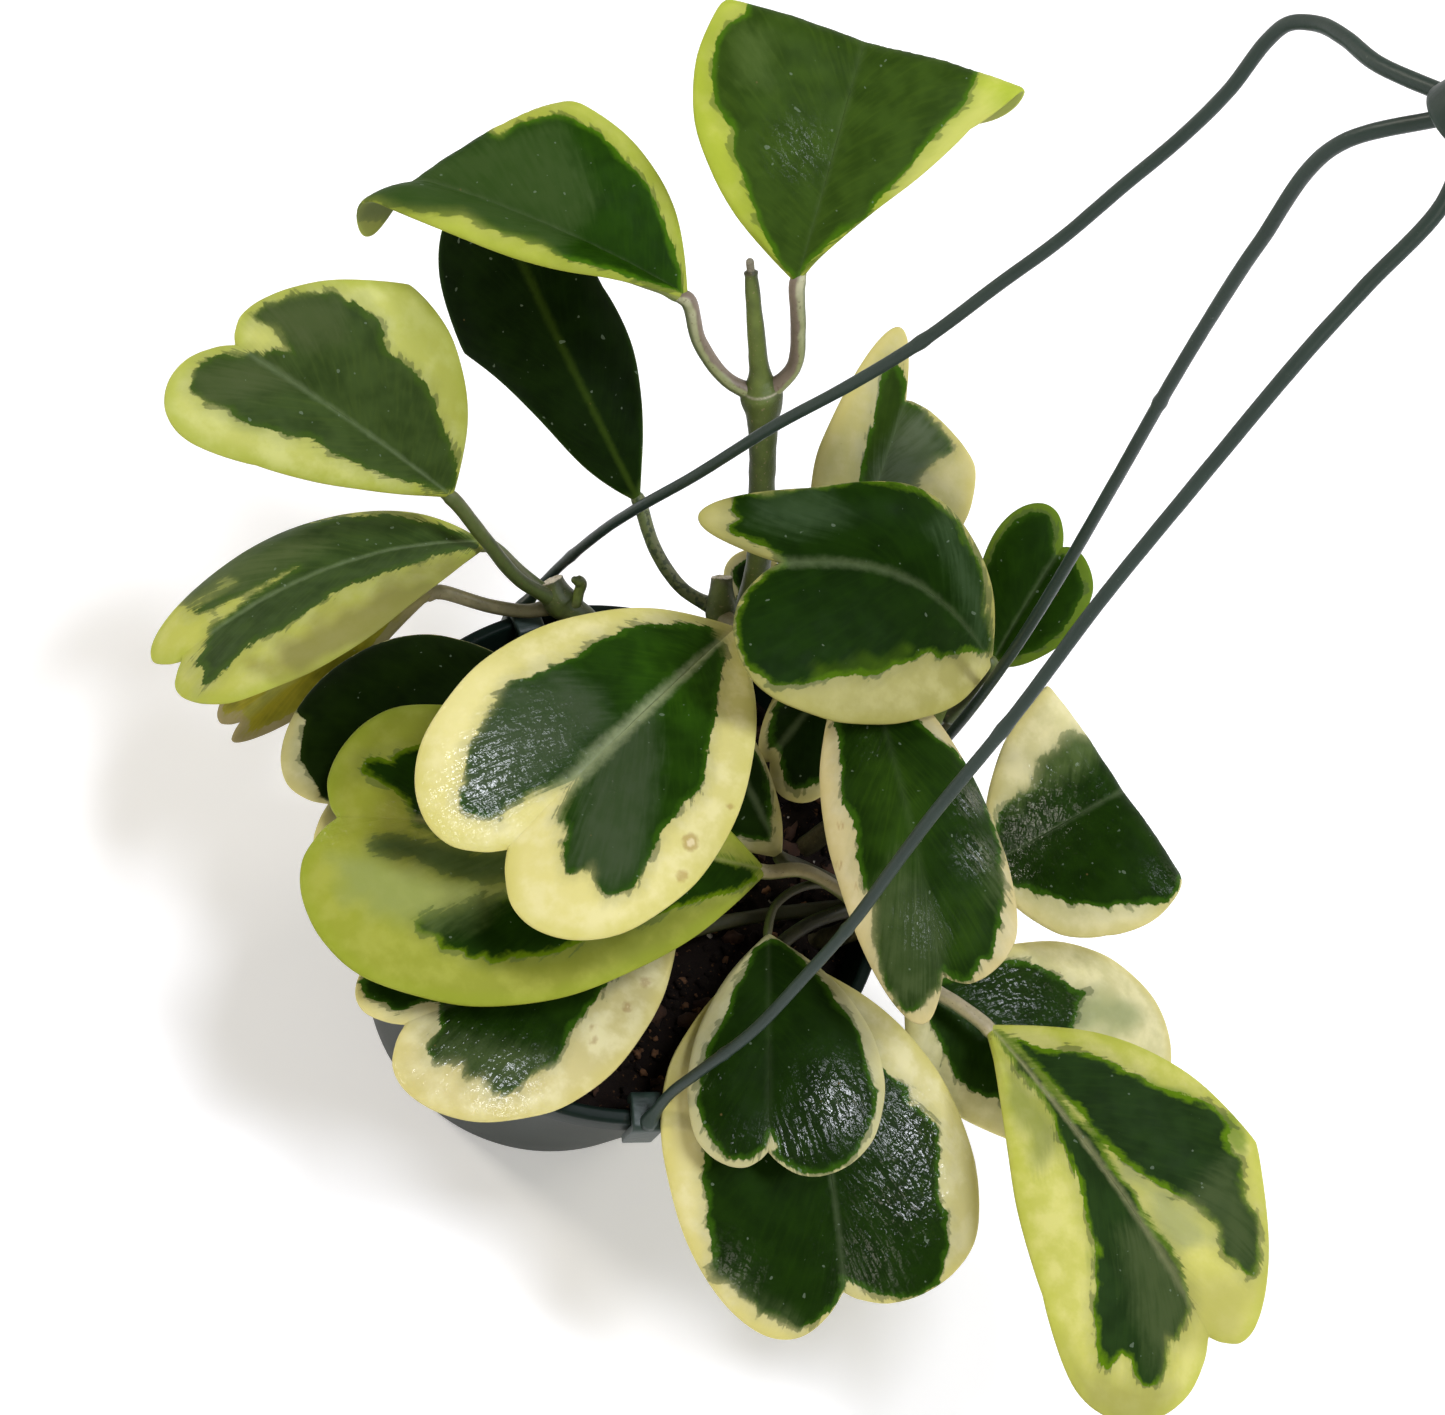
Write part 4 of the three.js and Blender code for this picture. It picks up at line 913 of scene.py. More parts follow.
# Each leaf is at four places: its stalk's end, its notch, its left and its right widest point.
LEAVES = {
    "leaf_big_middle": {
        "at": ((737, 628, 8), (507, 850, 60), (696, 880, 62), (476, 670, 46)),
        "arch": 4, "crown": (3, 3), "wave": 1.2,
        "through": [(728, 621, 4), (722, 614, 0)], "stem": "stem_back",
    },
    "leaf_top_right": {
        "at": ((797, 285, 54), (878, -10, 56), (699, 54, 65), (968, 130, 63)),
        "arch": 7, "flare": (0, 2.2),
        "fold": ((735, 22, 62), (1000, 96, 65), 5),
        "through": [(798, 330, 46), (793, 368, 38), (764, 396, 32)], "stem": "stem_tall",
    },
    "leaf_top_left": {
        "at": ((688, 300, 46), (398, 176, 50), (498, 251, 60), (566, 100, 44)),
        "arch": 5, "crown": (3, 4), "lobe": (0.1, 0), "flare": (0.6, 0),
        "fold": ((350, 232, 56), (546, 120, 50), 5),
        "through": [(700, 342, 40), (728, 380, 35), (762, 396, 32)], "stem": "stem_tall",
    },
    "leaf_dark_back": {
        "at": ((640, 503, 2), (500, 215, 16), (465, 353, 8), (602, 287, 11)),
        "arch": 6, "slim": (0.3, -0.15), "stalk": 4,
        "through": [(655, 548, 0), (682, 588, -1), (720, 610, 0)], "stem": "stem_back",
    },
    "leaf_left_upper": {
        "at": ((452, 498, 16), (235, 345, 46), (258, 465, 46), (408, 286, 34)),
        "arch": 5, "crown": (2, 3), "lobe": (0, -0.05), "flare": (1.4, -0.9),
        "through": [(482, 535, 8), (520, 580, -4), (556, 600, -13)], "stem": "stem_left",
    },
    "leaf_left_middle": {
        "at": ((488, 545, -4), (183, 661, 22), (308, 671, 43), (270, 543, 0)),
        "arch": 10, "crown": (2, 3), "lobe": (-0.06, 0),
        "through": [(520, 572, -10), (556, 602, -14)], "stem": "stem_left",
    },
    "leaf_left_lower": {
        "at": ((437, 592, -14), (240, 722, -16), (326, 700, -18), (282, 640, -32)),
        "arch": 4,
        "through": [(490, 606, -16), (530, 611, -16), (558, 604, -14)], "stem": "stem_left",
    },
    "leaf_right_upper": {
        "at": ((991, 665, 24), (778, 563, 46), (838, 720, 50), (905, 486, 38)),
        "arch": 5, "crown": (3, 4), "lobe": (0.03, 0.26), "sway": 9, "wave": 1.2,
        "through": [(976, 690, 14), (948, 715, 2)], "stem": "stem_right",
    },
    "leaf_behind_upper": {
        "at": ((846, 575, 0), (906, 400, 26), (818, 452, 22), (968, 512, 22)),
        "arch": 5, "lobe": (0.22, -0.1),
        "through": [(868, 630, -8), (900, 690, -14), (926, 735, -6)], "stem": "stem_right",
    },
    "leaf_right_small": {
        "at": ((990, 668, -6), (1063, 547, 6), (981, 568, 0), (1080, 622, 8)),
        "lobe": (0.14, -0.06), "flare": (0.8, 0), "stalk": 3.4,
        "through": [(968, 700, -4), (940, 735, -6)], "stem": "stem_right",
    },
    "leaf_hanging": {
        "at": ((858, 650, 22), (943, 975, 58), (1006, 860, 46), (829, 850, 46)),
        "arch": 8, "crown": (3, 3), "lobe": (-0.08, 0.05), "wave": 1.2,
        "through": [(874, 668, 10), (900, 700, 0), (915, 750, -9)], "stem": "stem_right",
    },
    "leaf_right_edge": {
        "at": ((985, 868, -8), (1185, 755, -4), (1036, 700, -2), (1106, 934, 6)),
        "arch": 5, "crown": (3, 3), "flare": (0.8, 0.8),
        "fold": ((1163, 886, 2), (1046, 716, -2), 5),
        "through": [(955, 866, -12), (915, 835, -16), (874, 786, -9)], "stem": "stem_right",
    },
    "leaf_right_under": {
        "at": ((905, 985, 0), (1128, 1122, -8), (1108, 958, -22), (962, 1118, 2)),
        "arch": 6, "crown": (3, 3),
        "through": [(888, 960, -2), (868, 925, -6)], "stem": "stem_front",
    },
    "leaf_right_lower": {
        "at": ((985, 1025, 14), (1208, 1337, 32), (1256, 1143, 16), (1042, 1295, 44)),
        "arch": 7, "crown": (4, 3), "lobe": (-0.04, 0), "flare": (-1.2, 1.3), "wave": 1.2,
        "through": [(960, 1006, 12), (930, 986, 8), (870, 915, -4)], "stem": "stem_front",
    },
    "leaf_bottom": {
        "at": ((778, 950, 8), (843, 1292, 24), (974, 1160, 12), (662, 1140, 34)),
        "arch": 8, "crown": (4, 4), "lobe": (-0.06, 0.08), "flare": (0, 0.2), "wave": 1.4,
        "through": [(806, 926, 2), (860, 905, -6)], "stem": "stem_front",
    },
    "leaf_bottom_small": {
        "at": ((768, 933, 20), (768, 1152, 45), (884, 1085, 36), (688, 1085, 38)),
        "lobe": (0, -0.04), "stalk": 2.6,
        "through": [(776, 905, 14), (806, 886, 8), (876, 888, -2)], "stem": "stem_front",
    },
    "leaf_lime_left": {
        "at": ((768, 872, 12), (337, 818, 32), (466, 1003, 52), (498, 716, 20)),
        "arch": 8, "crown": (4, 3), "lobe": (-0.04, -0.075), "flare": (0, 0.5), "wave": 1.4,
        "through": [(800, 870, 10), (832, 885, 4), (864, 910, -7)], "stem": "stem_front",
    },
    "leaf_dark_left": {
        "at": ((548, 692, -6), (328, 804, 22), (425, 855, 20), (384, 644, -2)),
        "arch": 5, "lobe": (0, 0.08), "flare": (0, 0.45),
        "through": [(610, 688, -14), (680, 690, -18), (738, 700, -16)], "stem": "stem_back",
    },
    "leaf_left_under": {
        "at": ((678, 935, 4), (405, 1025, 42), (556, 1108, 46), (450, 915, 22)),
        "arch": 4, "crown": (3, 3),
        "through": [(726, 922, -4), (790, 912, -10), (862, 905, -8)], "stem": "stem_front",
    },
    "leaf_middle_shade": {
        "at": ((781, 858, 4), (690, 690, 8), (650, 790, 10), (752, 740, 2)),
        "arch": 4,
        "through": [(805, 868, -2), (866, 898, -7)], "stem": "stem_front",
    },
    "leaf_back_shade": {
        "at": ((850, 665, -8), (770, 762, -6), (834, 784, -4), (786, 680, -12)),
        "through": [(885, 705, -14), (925, 790, -14)], "stem": "stem_right",
    },
    "leaf_back_edge": {
        "at": ((815, 640, -26), (728, 592, -31), (752, 646, -31), (768, 556, -30)),
        "stalk": 3,
        "through": [(850, 690, -28), (860, 740, -26), (872, 784, -12)], "stem": "stem_right",
    },
}
print("leaves:", len(LEAVES))

# %% The bent heart


def turned_about(vector, axis, angle):
    """A vector turned about an axis by an array of angles."""
    cosine = np.cos(angle)[:, None]
    sine = np.sin(angle)[:, None]
    return vector * cosine + np.cross(axis, vector) * sine + axis * (axis @ vector) * (1 - cosine)


def leaf_surface(leaf, across, at, rolled=True):
    """The middle surface of a leaf at arrays of places across and along it."""
    base, notch, left, right = (seen(place) for place in leaf["at"])
    along = notch - base
    length = np.linalg.norm(along)
    middle = base + along * WIDEST_AT
    wide = [left - middle, right - middle]
    hinge = wide[1] - wide[0]
    hinge = hinge / np.linalg.norm(hinge)
    face = np.cross(hinge, along)
    face = face / np.linalg.norm(face)

    def bow(t):
        return leaf["arch"] * 4 * t * (1 - t)

    def tilt(t):
        return np.arctan(leaf["arch"] * 4 * (1 - 2 * t) / length)

    def drift(t):
        return leaf["sway"] * np.where(t < 1, np.sin(math.pi * np.minimum(t, 1)), 2 * (1 - t))

    mark = np.array([WIDEST_AT])
    wide = [w - face * bow(WIDEST_AT) - hinge * drift(mark)[0] for w in wide]
    side = (across >= 0).astype(int)
    out = np.abs(across)
    turn_by = tilt(np.clip(at, 0, TILT_LIMIT)) - tilt(WIDEST_AT)
    ramp = np.clip((at - LOBES_FROM) / (1 - LOBES_FROM), 0, 1)
    lobe_share = 4 * out * (1 - out) * ramp * ramp * (3 - 2 * ramp)
    reach = at + np.choose(side, leaf["lobe"]) * lobe_share
    past = reach - WIDEST_AT
    flare = np.choose(side, leaf["flare"])
    width = out * (1 + np.where(past > 0, flare, np.maximum(0, flare) / 2) * past)
    short = np.clip(reach / WIDEST_AT, 0, 1)
    width = width * (1 - np.choose(side, leaf["slim"]) * 4 * short * (1 - short))
    ripple = leaf["wave"] * np.sin(reach * RIPPLE_PITCH + side * RIPPLE_SHIFT + out) * out * out
    left_half, right_half = (turned_about(w, hinge, turn_by) for w in wide)
    halves = np.where(side[:, None] == 0, left_half, right_half)
    swell = np.choose(side, leaf["crown"]) * CROWN_PEAK * (out - out ** 3) + ripple
    points = (base + along * reach[:, None] + face * bow(reach)[:, None] + hinge * drift(reach)[:, None]
              + halves * width[:, None] + turned_about(face, hinge, turn_by) * swell[:, None])
    if not (rolled and leaf["fold"]):
        return points
    fold_from, fold_to, radius = leaf["fold"]
    start = seen(fold_from)
    line = seen(fold_to) - start
    line = line / np.linalg.norm(line)
    beyond = np.cross(line, face)
    beyond = beyond / np.linalg.norm(beyond)
    if (base - start) @ beyond > 0:
        beyond = -beyond
    over = np.maximum((points - start) @ beyond, 0)
    angle = np.minimum(over / radius, FOLD_MOST)
    rest = over - angle * radius
    return (points + beyond * (radius * np.sin(angle) + rest * np.cos(angle) - over)[:, None]
            - face * (radius * (1 - np.cos(angle)) + rest * np.sin(angle))[:, None])


first = {**PLAIN_LEAF, **LEAVES["leaf_big_middle"]}
print("a leaf's notch at", leaf_surface(first, np.array([0.0]), np.array([1.0]))[0].round(1))

# %% The blade's grid
even = np.arange(LEAF_ACROSS + 1) / LEAF_ACROSS
EDGE_CROWDING = 0.85
shares = even * (1 - EDGE_CROWDING) + (0.5 - 0.5 * np.cos(math.pi * even)) * EDGE_CROWDING
columns = np.concatenate([-shares[:0:-1], shares])
parts = np.arange(LEAF_STEPS + 1) / LEAF_STEPS
outlines = np.array([outline_at(part) for part in parts])
grid_part = np.concatenate([[0.0], np.repeat(parts[1:-1], len(columns)), [1.0]])
grid_share = np.concatenate([[0.0], np.tile(columns, LEAF_STEPS - 1), [0.0]])
grid_outline = np.stack([np.interp(grid_part, parts, outlines[:, k]) for k in (0, 1)], axis=1)
GRID_ACROSS = grid_outline[:, 0] * grid_share
rib_place = grid_part ** RIB_LEAN
GRID_AT = rib_place + (grid_outline[:, 1] - rib_place) * np.abs(grid_share)


def grid_index(step, column):
    """The number of the grid's point; both ends of the leaf are single points."""
    if step == 0:
        return 0
    if step == LEAF_STEPS:
        return 1 + (LEAF_STEPS - 1) * len(columns)
    return 1 + (step - 1) * len(columns) + column


def blade_faces():
    """Faces of one side of the blade, wound so that they face up."""
    faces = []
    for step in range(LEAF_STEPS):
        for column in range(len(columns) - 1):
            ring = (grid_index(step, column), grid_index(step, column + 1),
                    grid_index(step + 1, column + 1), grid_index(step + 1, column))
            kept = tuple(dict.fromkeys(ring))
            if len(kept) > 2:
                faces.append(kept)
    return faces


BLADE_FACES = blade_faces()
RIM_LEFT = [grid_index(step, 0) for step in range(LEAF_STEPS + 1)]
RIM_RIGHT = [grid_index(step, len(columns) - 1) for step in range(LEAF_STEPS + 1)]
ON_RIM = np.zeros(len(grid_part), dtype=bool)
ON_RIM[RIM_LEFT + RIM_RIGHT] = True
print("points on one side of a blade:", len(grid_part))

# %% [markdown]
# ## Where the leaves are green, grey and cream
# The leaves are variegated: each has a dark heart with a jagged edge that follows the veins, with
# grey green patches where only one layer of the leaf is green, and a cream or lime margin. The big
# patches differ from leaf to leaf, so each is an outline of corners on the sight lines. The fine
# teeth of its edge come later, from noise that is stretched along the veins.

# %% The patches, as corners on the photograph's sight lines
# A glint is (x, y, radius, strength) and a spot is (x, y, radius), in pixels. A wash tints the margin
# or the heart: its tone, its strength, how softly it ends in mm, and its corners.
PLAIN_MARKS = {
    "dark": [], "grey": [], "washes": [], "spots": [], "glints": [], "streak": 0.3,
    "hem": 1.5, "jag": 1.0, "margin": ("#c4bc80", "#d1c88d"), "mottle": "#dad3a3", "hem_tone": "#c5ba6d",
    "deep": "#193004", "greyed": "#3f4e2b", "fringe": "#3f6a0e", "fringe_share": 0.45,
    "rib": 0.3, "rib_tone": "#7f8f68", "rib_wide": 1.2, "rib_run": (1.0, 0.6),
    # Plain stalks take dark tones: painted shade, for stalks that lie in shade among the leaves.
    "leaf_end": "#4f4f2a", "stem_end": "#2f3418", "blush": "#958b76", "shade_side": "#4c5a26",
    "sunned": 0.1, "speckle": 0.12,
}
LIME_MARKS = {
    "margin": ("#a5ac46", "#b4ba53"), "mottle": "#c2c571", "hem_tone": "#9aa932",
    "deep": "#1d3704", "fringe": "#4f7d09", "fringe_share": 0.8,
}
# The two leaves at the crown have pale stalks that blush where they face the stem.
CROWN_MARKS = {
    "leaf_end": "#b0af90", "stem_end": "#8a9062", "blush": "#75655a", "shade_side": "#3c4a20",
    "sunned": 0.9, "jag": 0.6, "fringe_share": 0.5,
}
MARKS = {
    "leaf_big_middle": {
        "glints": [(478, 780, 48, 1.0), (450, 715, 45, 0.35), (600, 770, 34, 0.2), (545, 745, 40, 0.3)],
        "margin": ("#beb871", "#d1c982"), "mottle": "#dad39a", "hem_tone": "#beb860", "deep": "#1e3a06",
        "greyed": "#3c4a31", "fringe_share": 0.35, "rib": 0.95, "rib_tone": "#9ba57c", "rib_wide": 3.6,
        "leaf_end": "#7d6f68", "stem_end": "#6f6a48",
        "dark": [
            (712, 625), (650, 623), (627, 628), (595, 642), (580, 655), (508, 683), (488, 712), (478, 733),
            (467, 747), (465, 767), (467, 785), (457, 798), (460, 807), (470, 813), (488, 818), (498, 817),
            (503, 807), (543, 790), (577, 780), (558, 822), (570, 830), (563, 843), (565, 867), (568, 875),
            (580, 872), (587, 873), (592, 867), (597, 887), (607, 895), (615, 895), (637, 885), (663, 830),
            (677, 818), (677, 807), (690, 800), (700, 790), (705, 777), (710, 740), (717, 717), (717, 697),
            (725, 657), (723, 640)],
        "grey": [
            [(497, 690), (560, 670), (600, 690), (610, 720), (560, 770), (500, 805), (465, 800),
             (470, 740)],
            [(620, 730), (655, 710), (660, 760), (655, 800), (640, 870), (610, 890), (570, 865),
             (580, 800)]],
        "washes": [
            ("heart", "#2c5009", 0.8, 8, [(722, 628), (630, 640), (640, 705), (705, 725)]),
            # The pale cream wash on the left lobe is a painted highlight, where the wax shines.
            ("margin", "#e6dea0", 0.5, 8, [(440, 650), (500, 660), (480, 730), (450, 760), (425, 720)])],
        "spots": [(690, 842, 8), (682, 876, 5), (730, 807, 3)],
    },
    "leaf_lime_left": {
        **LIME_MARKS, "margin": ("#7f8238", "#939a36"), "mottle": "#9fa347", "hem_tone": "#8a982a",
        "deep": "#173001", "greyed": "#4c5c30", "fringe": "#5f7a0a", "rib": 0.9, "rib_tone": "#a0a060",
        "rib_wide": 1.5, "leaf_end": "#b1a77c", "stem_end": "#8a7f58", "sunned": 0.3,
        "dark": [
            [(362, 760), (377, 755), (392, 760), (405, 747), (420, 742), (470, 745), (500, 790), (470, 840),
             (413, 826), (412, 812), (405, 800), (376, 779), (363, 773)],
            [(757, 868), (700, 850), (640, 850), (560, 870), (520, 895), (473, 903), (413, 920), (418, 931),
             (437, 938), (441, 948), (463, 951), (472, 961), (483, 956), (491, 965), (517, 957), (543, 957),
             (690, 903), (725, 895), (757, 880)],
            [(371, 840), (400, 836), (480, 851), (520, 850), (520, 880), (465, 880), (440, 872), (410, 858),
             (374, 851)]],
        "grey": [
            [(350, 826), (400, 822), (440, 826), (480, 835), (530, 840), (530, 894), (465, 892),
             (360, 862)],
            [(405, 915), (450, 890), (520, 880), (480, 925), (430, 935)]],
        "washes": [
            ("margin", "#87925c", 0.6, 7, [
                (330, 858), (372, 850), (440, 872), (520, 880), (560, 905), (430, 918), (400, 925),
                (345, 900)]),
            ("margin", "#6b7424", 0.6, 5, [
                (482, 935), (560, 925), (640, 915), (700, 905), (650, 945), (560, 972), (484, 968)])],
        "glints": [(425, 830, 26, 0.9), (392, 820, 24, 0.7), (340, 830, 26, 0.3), (490, 862, 26, 0.4)],
    },
    "leaf_left_under": {
        "glints": [(450, 1050, 34, 0.8), (500, 1078, 34, 0.8), (412, 1078, 30, 0.5)],
        # Its margin is a darker cream: painted shade, as the leaf lies low under the others.
        "margin": ("#bab077", "#c8be85"),
        "dark": [
            (678, 935), (640, 945), (607, 983), (597, 1000), (577, 1020), (562, 1047), (557, 1062),
            (543, 1068), (523, 1082), (517, 1090), (495, 1095), (487, 1090), (485, 1077), (465, 1081),
            (462, 1063), (437, 1062), (425, 1053), (427, 1043), (440, 1030), (438, 1003), (430, 1001),
            (397, 1012), (387, 1003), (367, 997), (358, 983), (400, 950), (600, 925)],
        "grey": [
            [(427, 1043), (450, 1030), (500, 1040), (540, 1050), (557, 1060), (523, 1082), (495, 1095),
             (465, 1081), (437, 1062)]],
        "spots": [(645, 982, 4), (627, 1007, 4), (593, 1027, 3), (593, 1040, 3)],
    },
    "leaf_bottom_small": {
        "glints": [(722, 1146, 20, 0.35), (836, 1104, 29, 1.0), (792, 1142, 22, 0.8), (706, 1085, 12, 0.4)],
        # Its stalk's dark tones are painted shade, as it lies under the leaves.
        "leaf_end": "#46461f", "stem_end": "#24270f", "margin": ("#b3ae80", "#c4bf91"), "mottle": "#cfcba3",
        "hem_tone": "#bcb67f", "deep": "#152b03", "jag": 0.7, "rib": 0.06,
        "dark": [
            (770, 938), (753, 947), (745, 973), (733, 990), (722, 1023), (707, 1047), (697, 1103),
            (700, 1120), (713, 1143), (730, 1160), (750, 1160), (765, 1148), (770, 1133), (777, 1147),
            (772, 1153), (783, 1167), (813, 1178), (840, 1168), (860, 1150), (863, 1137), (877, 1110),
            (878, 1093), (870, 1077), (862, 1040), (850, 1017), (837, 1003), (827, 983), (813, 973),
            (800, 957), (780, 940)],
    },
    "leaf_bottom": {
        "glints": [
            (918, 1134, 42, 1.0), (905, 1195, 36, 0.9), (870, 1262, 34, 0.5), (735, 1275, 26, 0.4),
            (948, 1180, 24, 0.8)],
        "margin": ("#c2ba7e", "#d0c88b"), "hem_tone": "#c4ba60", "deep": "#162d03", "rib": 0.25,
        # Its stalk's dark tones are painted shade, as it lies under the leaves.
        "leaf_end": "#46461f", "stem_end": "#24270f",
        "dark": [
            (778, 955), (740, 1010), (715, 1080), (702, 1177), (708, 1197), (707, 1223), (712, 1250),
            (710, 1273), (730, 1283), (760, 1313), (783, 1320), (800, 1330), (837, 1307), (847, 1292),
            (845, 1280), (867, 1290), (900, 1298), (927, 1293), (940, 1283), (948, 1247), (947, 1213),
            (938, 1197), (940, 1163), (938, 1127), (927, 1113), (907, 1103), (910, 1090), (890, 1077),
            (860, 1030), (820, 980)],
        "grey": [[(712, 1262), (750, 1290), (790, 1312), (800, 1330), (747, 1305), (712, 1280)]],
    },
    "leaf_right_under": {
        "margin": ("#bbb57c", "#c6c08f"), "leaf_end": "#9a9268", "stem_end": "#7d7a4c",
        "dark": [
            (905, 985), (925, 1012), (957, 1078), (983, 1098), (1010, 1100), (1040, 1080), (1070, 1040),
            (1078, 1010), (1077, 1003), (1087, 993), (1073, 987), (1037, 963), (1013, 960), (985, 962),
            (960, 975)],
        "washes": [
            ("margin", "#7d8a5c", 0.7, 5, [
                (1065, 995), (1103, 990), (1123, 1000), (1135, 1010), (1137, 1022), (1133, 1035),
                (1070, 1028)])],
        "glints": [(1010, 985, 34, 0.6), (1070, 1010, 16, 0.3)],
    },
    "leaf_right_lower": {
        **LIME_MARKS, "margin": ("#a5ab44", "#c0be64"), "mottle": "#cbc878", "hem_tone": "#acb142",
        "deep": "#213713", "greyed": "#414f2c", "fringe": "#5a7d08", "rib": 1.0, "rib_tone": "#a9a97a",
        "rib_wide": 1.7, "rib_run": (1.0, 0.15), "leaf_end": "#a89c7a", "stem_end": "#98906a",
        "sunned": 0.5,
        "dark": [
            [(995, 1032), (1050, 1048), (1103, 1057), (1160, 1087), (1197, 1097), (1217, 1110),
             (1235, 1133), (1228, 1137), (1232, 1150), (1240, 1160), (1247, 1200), (1255, 1213),
             (1260, 1253), (1257, 1273), (1248, 1277), (1233, 1260), (1223, 1253), (1220, 1233),
             (1200, 1207), (1183, 1197), (1170, 1193), (1120, 1160), (1100, 1140), (1077, 1110),
             (1020, 1050)],
            [(997, 1033), (1007, 1053), (1047, 1107), (1077, 1177), (1090, 1230), (1098, 1250),
             (1093, 1267), (1098, 1287), (1093, 1303), (1097, 1330), (1095, 1347), (1103, 1373),
             (1113, 1367), (1120, 1353), (1130, 1360), (1137, 1377), (1143, 1385), (1152, 1388),
             (1160, 1382), (1167, 1367), (1170, 1350), (1167, 1337), (1177, 1340), (1190, 1307),
             (1188, 1287), (1180, 1263), (1170, 1243), (1153, 1223), (1100, 1143), (1020, 1052)]],
        "grey": [
            [(1143, 1220), (1180, 1263), (1190, 1307), (1177, 1340), (1160, 1382), (1130, 1300),
             (1120, 1230)],
            [(1183, 1197), (1232, 1150), (1257, 1233), (1257, 1273), (1233, 1260), (1210, 1220)]],
        "washes": [
            ("margin", "#5a7d08", 0.7, 2, [
                (1150, 1078), (1232, 1112), (1243, 1150), (1225, 1137), (1195, 1108), (1150, 1092)]),
            ("margin", "#5a7d08", 0.6, 2, [(1090, 1240), (1104, 1250), (1104, 1345), (1092, 1345)]),
            ("margin", "#8d9466", 0.7, 5, [
                (1120, 1158), (1150, 1178), (1195, 1205), (1215, 1240), (1180, 1255), (1150, 1215)]),
            ("margin", "#76803f", 0.7, 5, [
                (1000, 1055), (1040, 1100), (1062, 1150), (1040, 1165), (1012, 1110)]),
            ("margin", "#a5a258", 0.6, 8, [(1175, 1270), (1262, 1285), (1235, 1345), (1180, 1345)]),
            ("margin", "#8c8b48", 0.7, 8, [
                (1060, 1340), (1100, 1378), (1170, 1392), (1150, 1430), (1080, 1420)])],
    },
    "leaf_hanging": {
        "glints": [(972, 800, 14, 0.8), (978, 855, 16, 0.7), (872, 745, 12, 0.4), (920, 930, 24, 0.25)],
        "rib_run": (0.25, 0.1), "streak": 0.45, "margin": ("#c0b382", "#c6bb8d"), "mottle": "#d1c79f",
        "hem_tone": "#bdae73", "deep": "#182f04",
        "dark": [
            (862, 660), (845, 690), (832, 722), (839, 742), (842, 805), (852, 820), (857, 835), (855, 852),
            (857, 870), (865, 880), (866, 892), (874, 900), (876, 955), (885, 992), (895, 995), (897, 1007),
            (905, 1012), (917, 1010), (927, 1002), (944, 980), (957, 982), (970, 980), (980, 967),
            (982, 959), (992, 959), (1005, 902), (999, 840), (986, 810), (990, 800), (980, 780), (955, 750),
            (942, 742)],
        "grey": [
            [(868, 900), (900, 850), (945, 935), (935, 1000), (900, 1005), (880, 970)],
            [(985, 850), (1003, 870), (1000, 910), (988, 900)]],
        "washes": [
            ("heart", "#2d480c", 0.55, 9, [
                (868, 735), (900, 760), (925, 800), (918, 860), (890, 880), (862, 800)]),
            ("heart", "#2d480c", 0.5, 8, [(950, 900), (985, 890), (975, 940), (945, 960)])],
        "spots": [(841, 825, 3), (840, 865, 3), (857, 887, 3)],
    },
    "leaf_left_upper": {
        **LIME_MARKS, "margin": ("#a3a748", "#bcbf69"), "mottle": "#c6c97d", "hem_tone": "#9aa535",
        "deep": "#3a4c22", "greyed": "#485430", "fringe": "#4a6a10", "fringe_share": 0.3, "rib": 0.5,
        "leaf_end": "#686c42", "stem_end": "#38411e", "sunned": 0.3,
        "dark": [
            (456, 491), (458, 477), (454, 454), (428, 385), (397, 357), (386, 352), (382, 320), (364, 312),
            (362, 302), (344, 300), (339, 293), (300, 292), (267, 304), (250, 313), (253, 321), (275, 329),
            (293, 354), (275, 349), (261, 354), (253, 350), (242, 356), (219, 353), (197, 366), (189, 388),
            (206, 404), (228, 408), (244, 424), (317, 441), (331, 452), (367, 468), (444, 493)],
        "grey": [
            [(250, 313), (300, 292), (340, 300), (345, 340), (300, 350), (283, 341)],
            [(192, 374), (260, 355), (300, 385), (240, 402), (206, 404)]],
        "washes": [
            ("margin", "#7d8850", 0.6, 4, [(222, 402), (275, 405), (268, 428), (238, 426)]),
            ("margin", "#8f9440", 0.6, 8, [(385, 290), (480, 310), (480, 450), (448, 430), (425, 370)])],
    },
    "leaf_left_middle": {
        **LIME_MARKS, "margin": ("#a5a950", "#b1b456"), "mottle": "#babc6f", "hem_tone": "#98a236",
        "deep": "#374a22", "greyed": "#4b5832", "fringe": "#4a6a10", "fringe_share": 0.3, "rib": 0.6,
        "leaf_end": "#6a7540", "stem_end": "#444f26", "sunned": 0.25,
        "dark": [
            (484, 547), (473, 537), (437, 524), (400, 516), (353, 515), (270, 527), (205, 558), (193, 572),
            (175, 587), (172, 597), (187, 602), (205, 595), (225, 580), (235, 583), (210, 600), (187, 610),
            (190, 616), (210, 610), (300, 565), (237, 607), (211, 630), (205, 648), (193, 667), (203, 668),
            (200, 687), (212, 682), (253, 643), (280, 630), (340, 590), (437, 555)],
        "grey": [[(205, 560), (300, 535), (330, 545), (250, 585), (190, 612), (175, 597)]],
        "washes": [
            ("margin", "#7d8850", 0.6, 4, [(175, 587), (240, 578), (225, 596), (187, 604)]),
            # The dark olive wash on the lower margin is painted shade, where the edge curls down.
            ("margin", "#74703f", 0.8, 6, [
                (250, 668), (330, 612), (440, 562), (480, 560), (440, 600), (300, 680)])],
    },
    "leaf_left_lower": {
        "margin": ("#87835b", "#877f59"), "mottle": "#928868", "hem_tone": "#837951", "deep": "#837d1f",
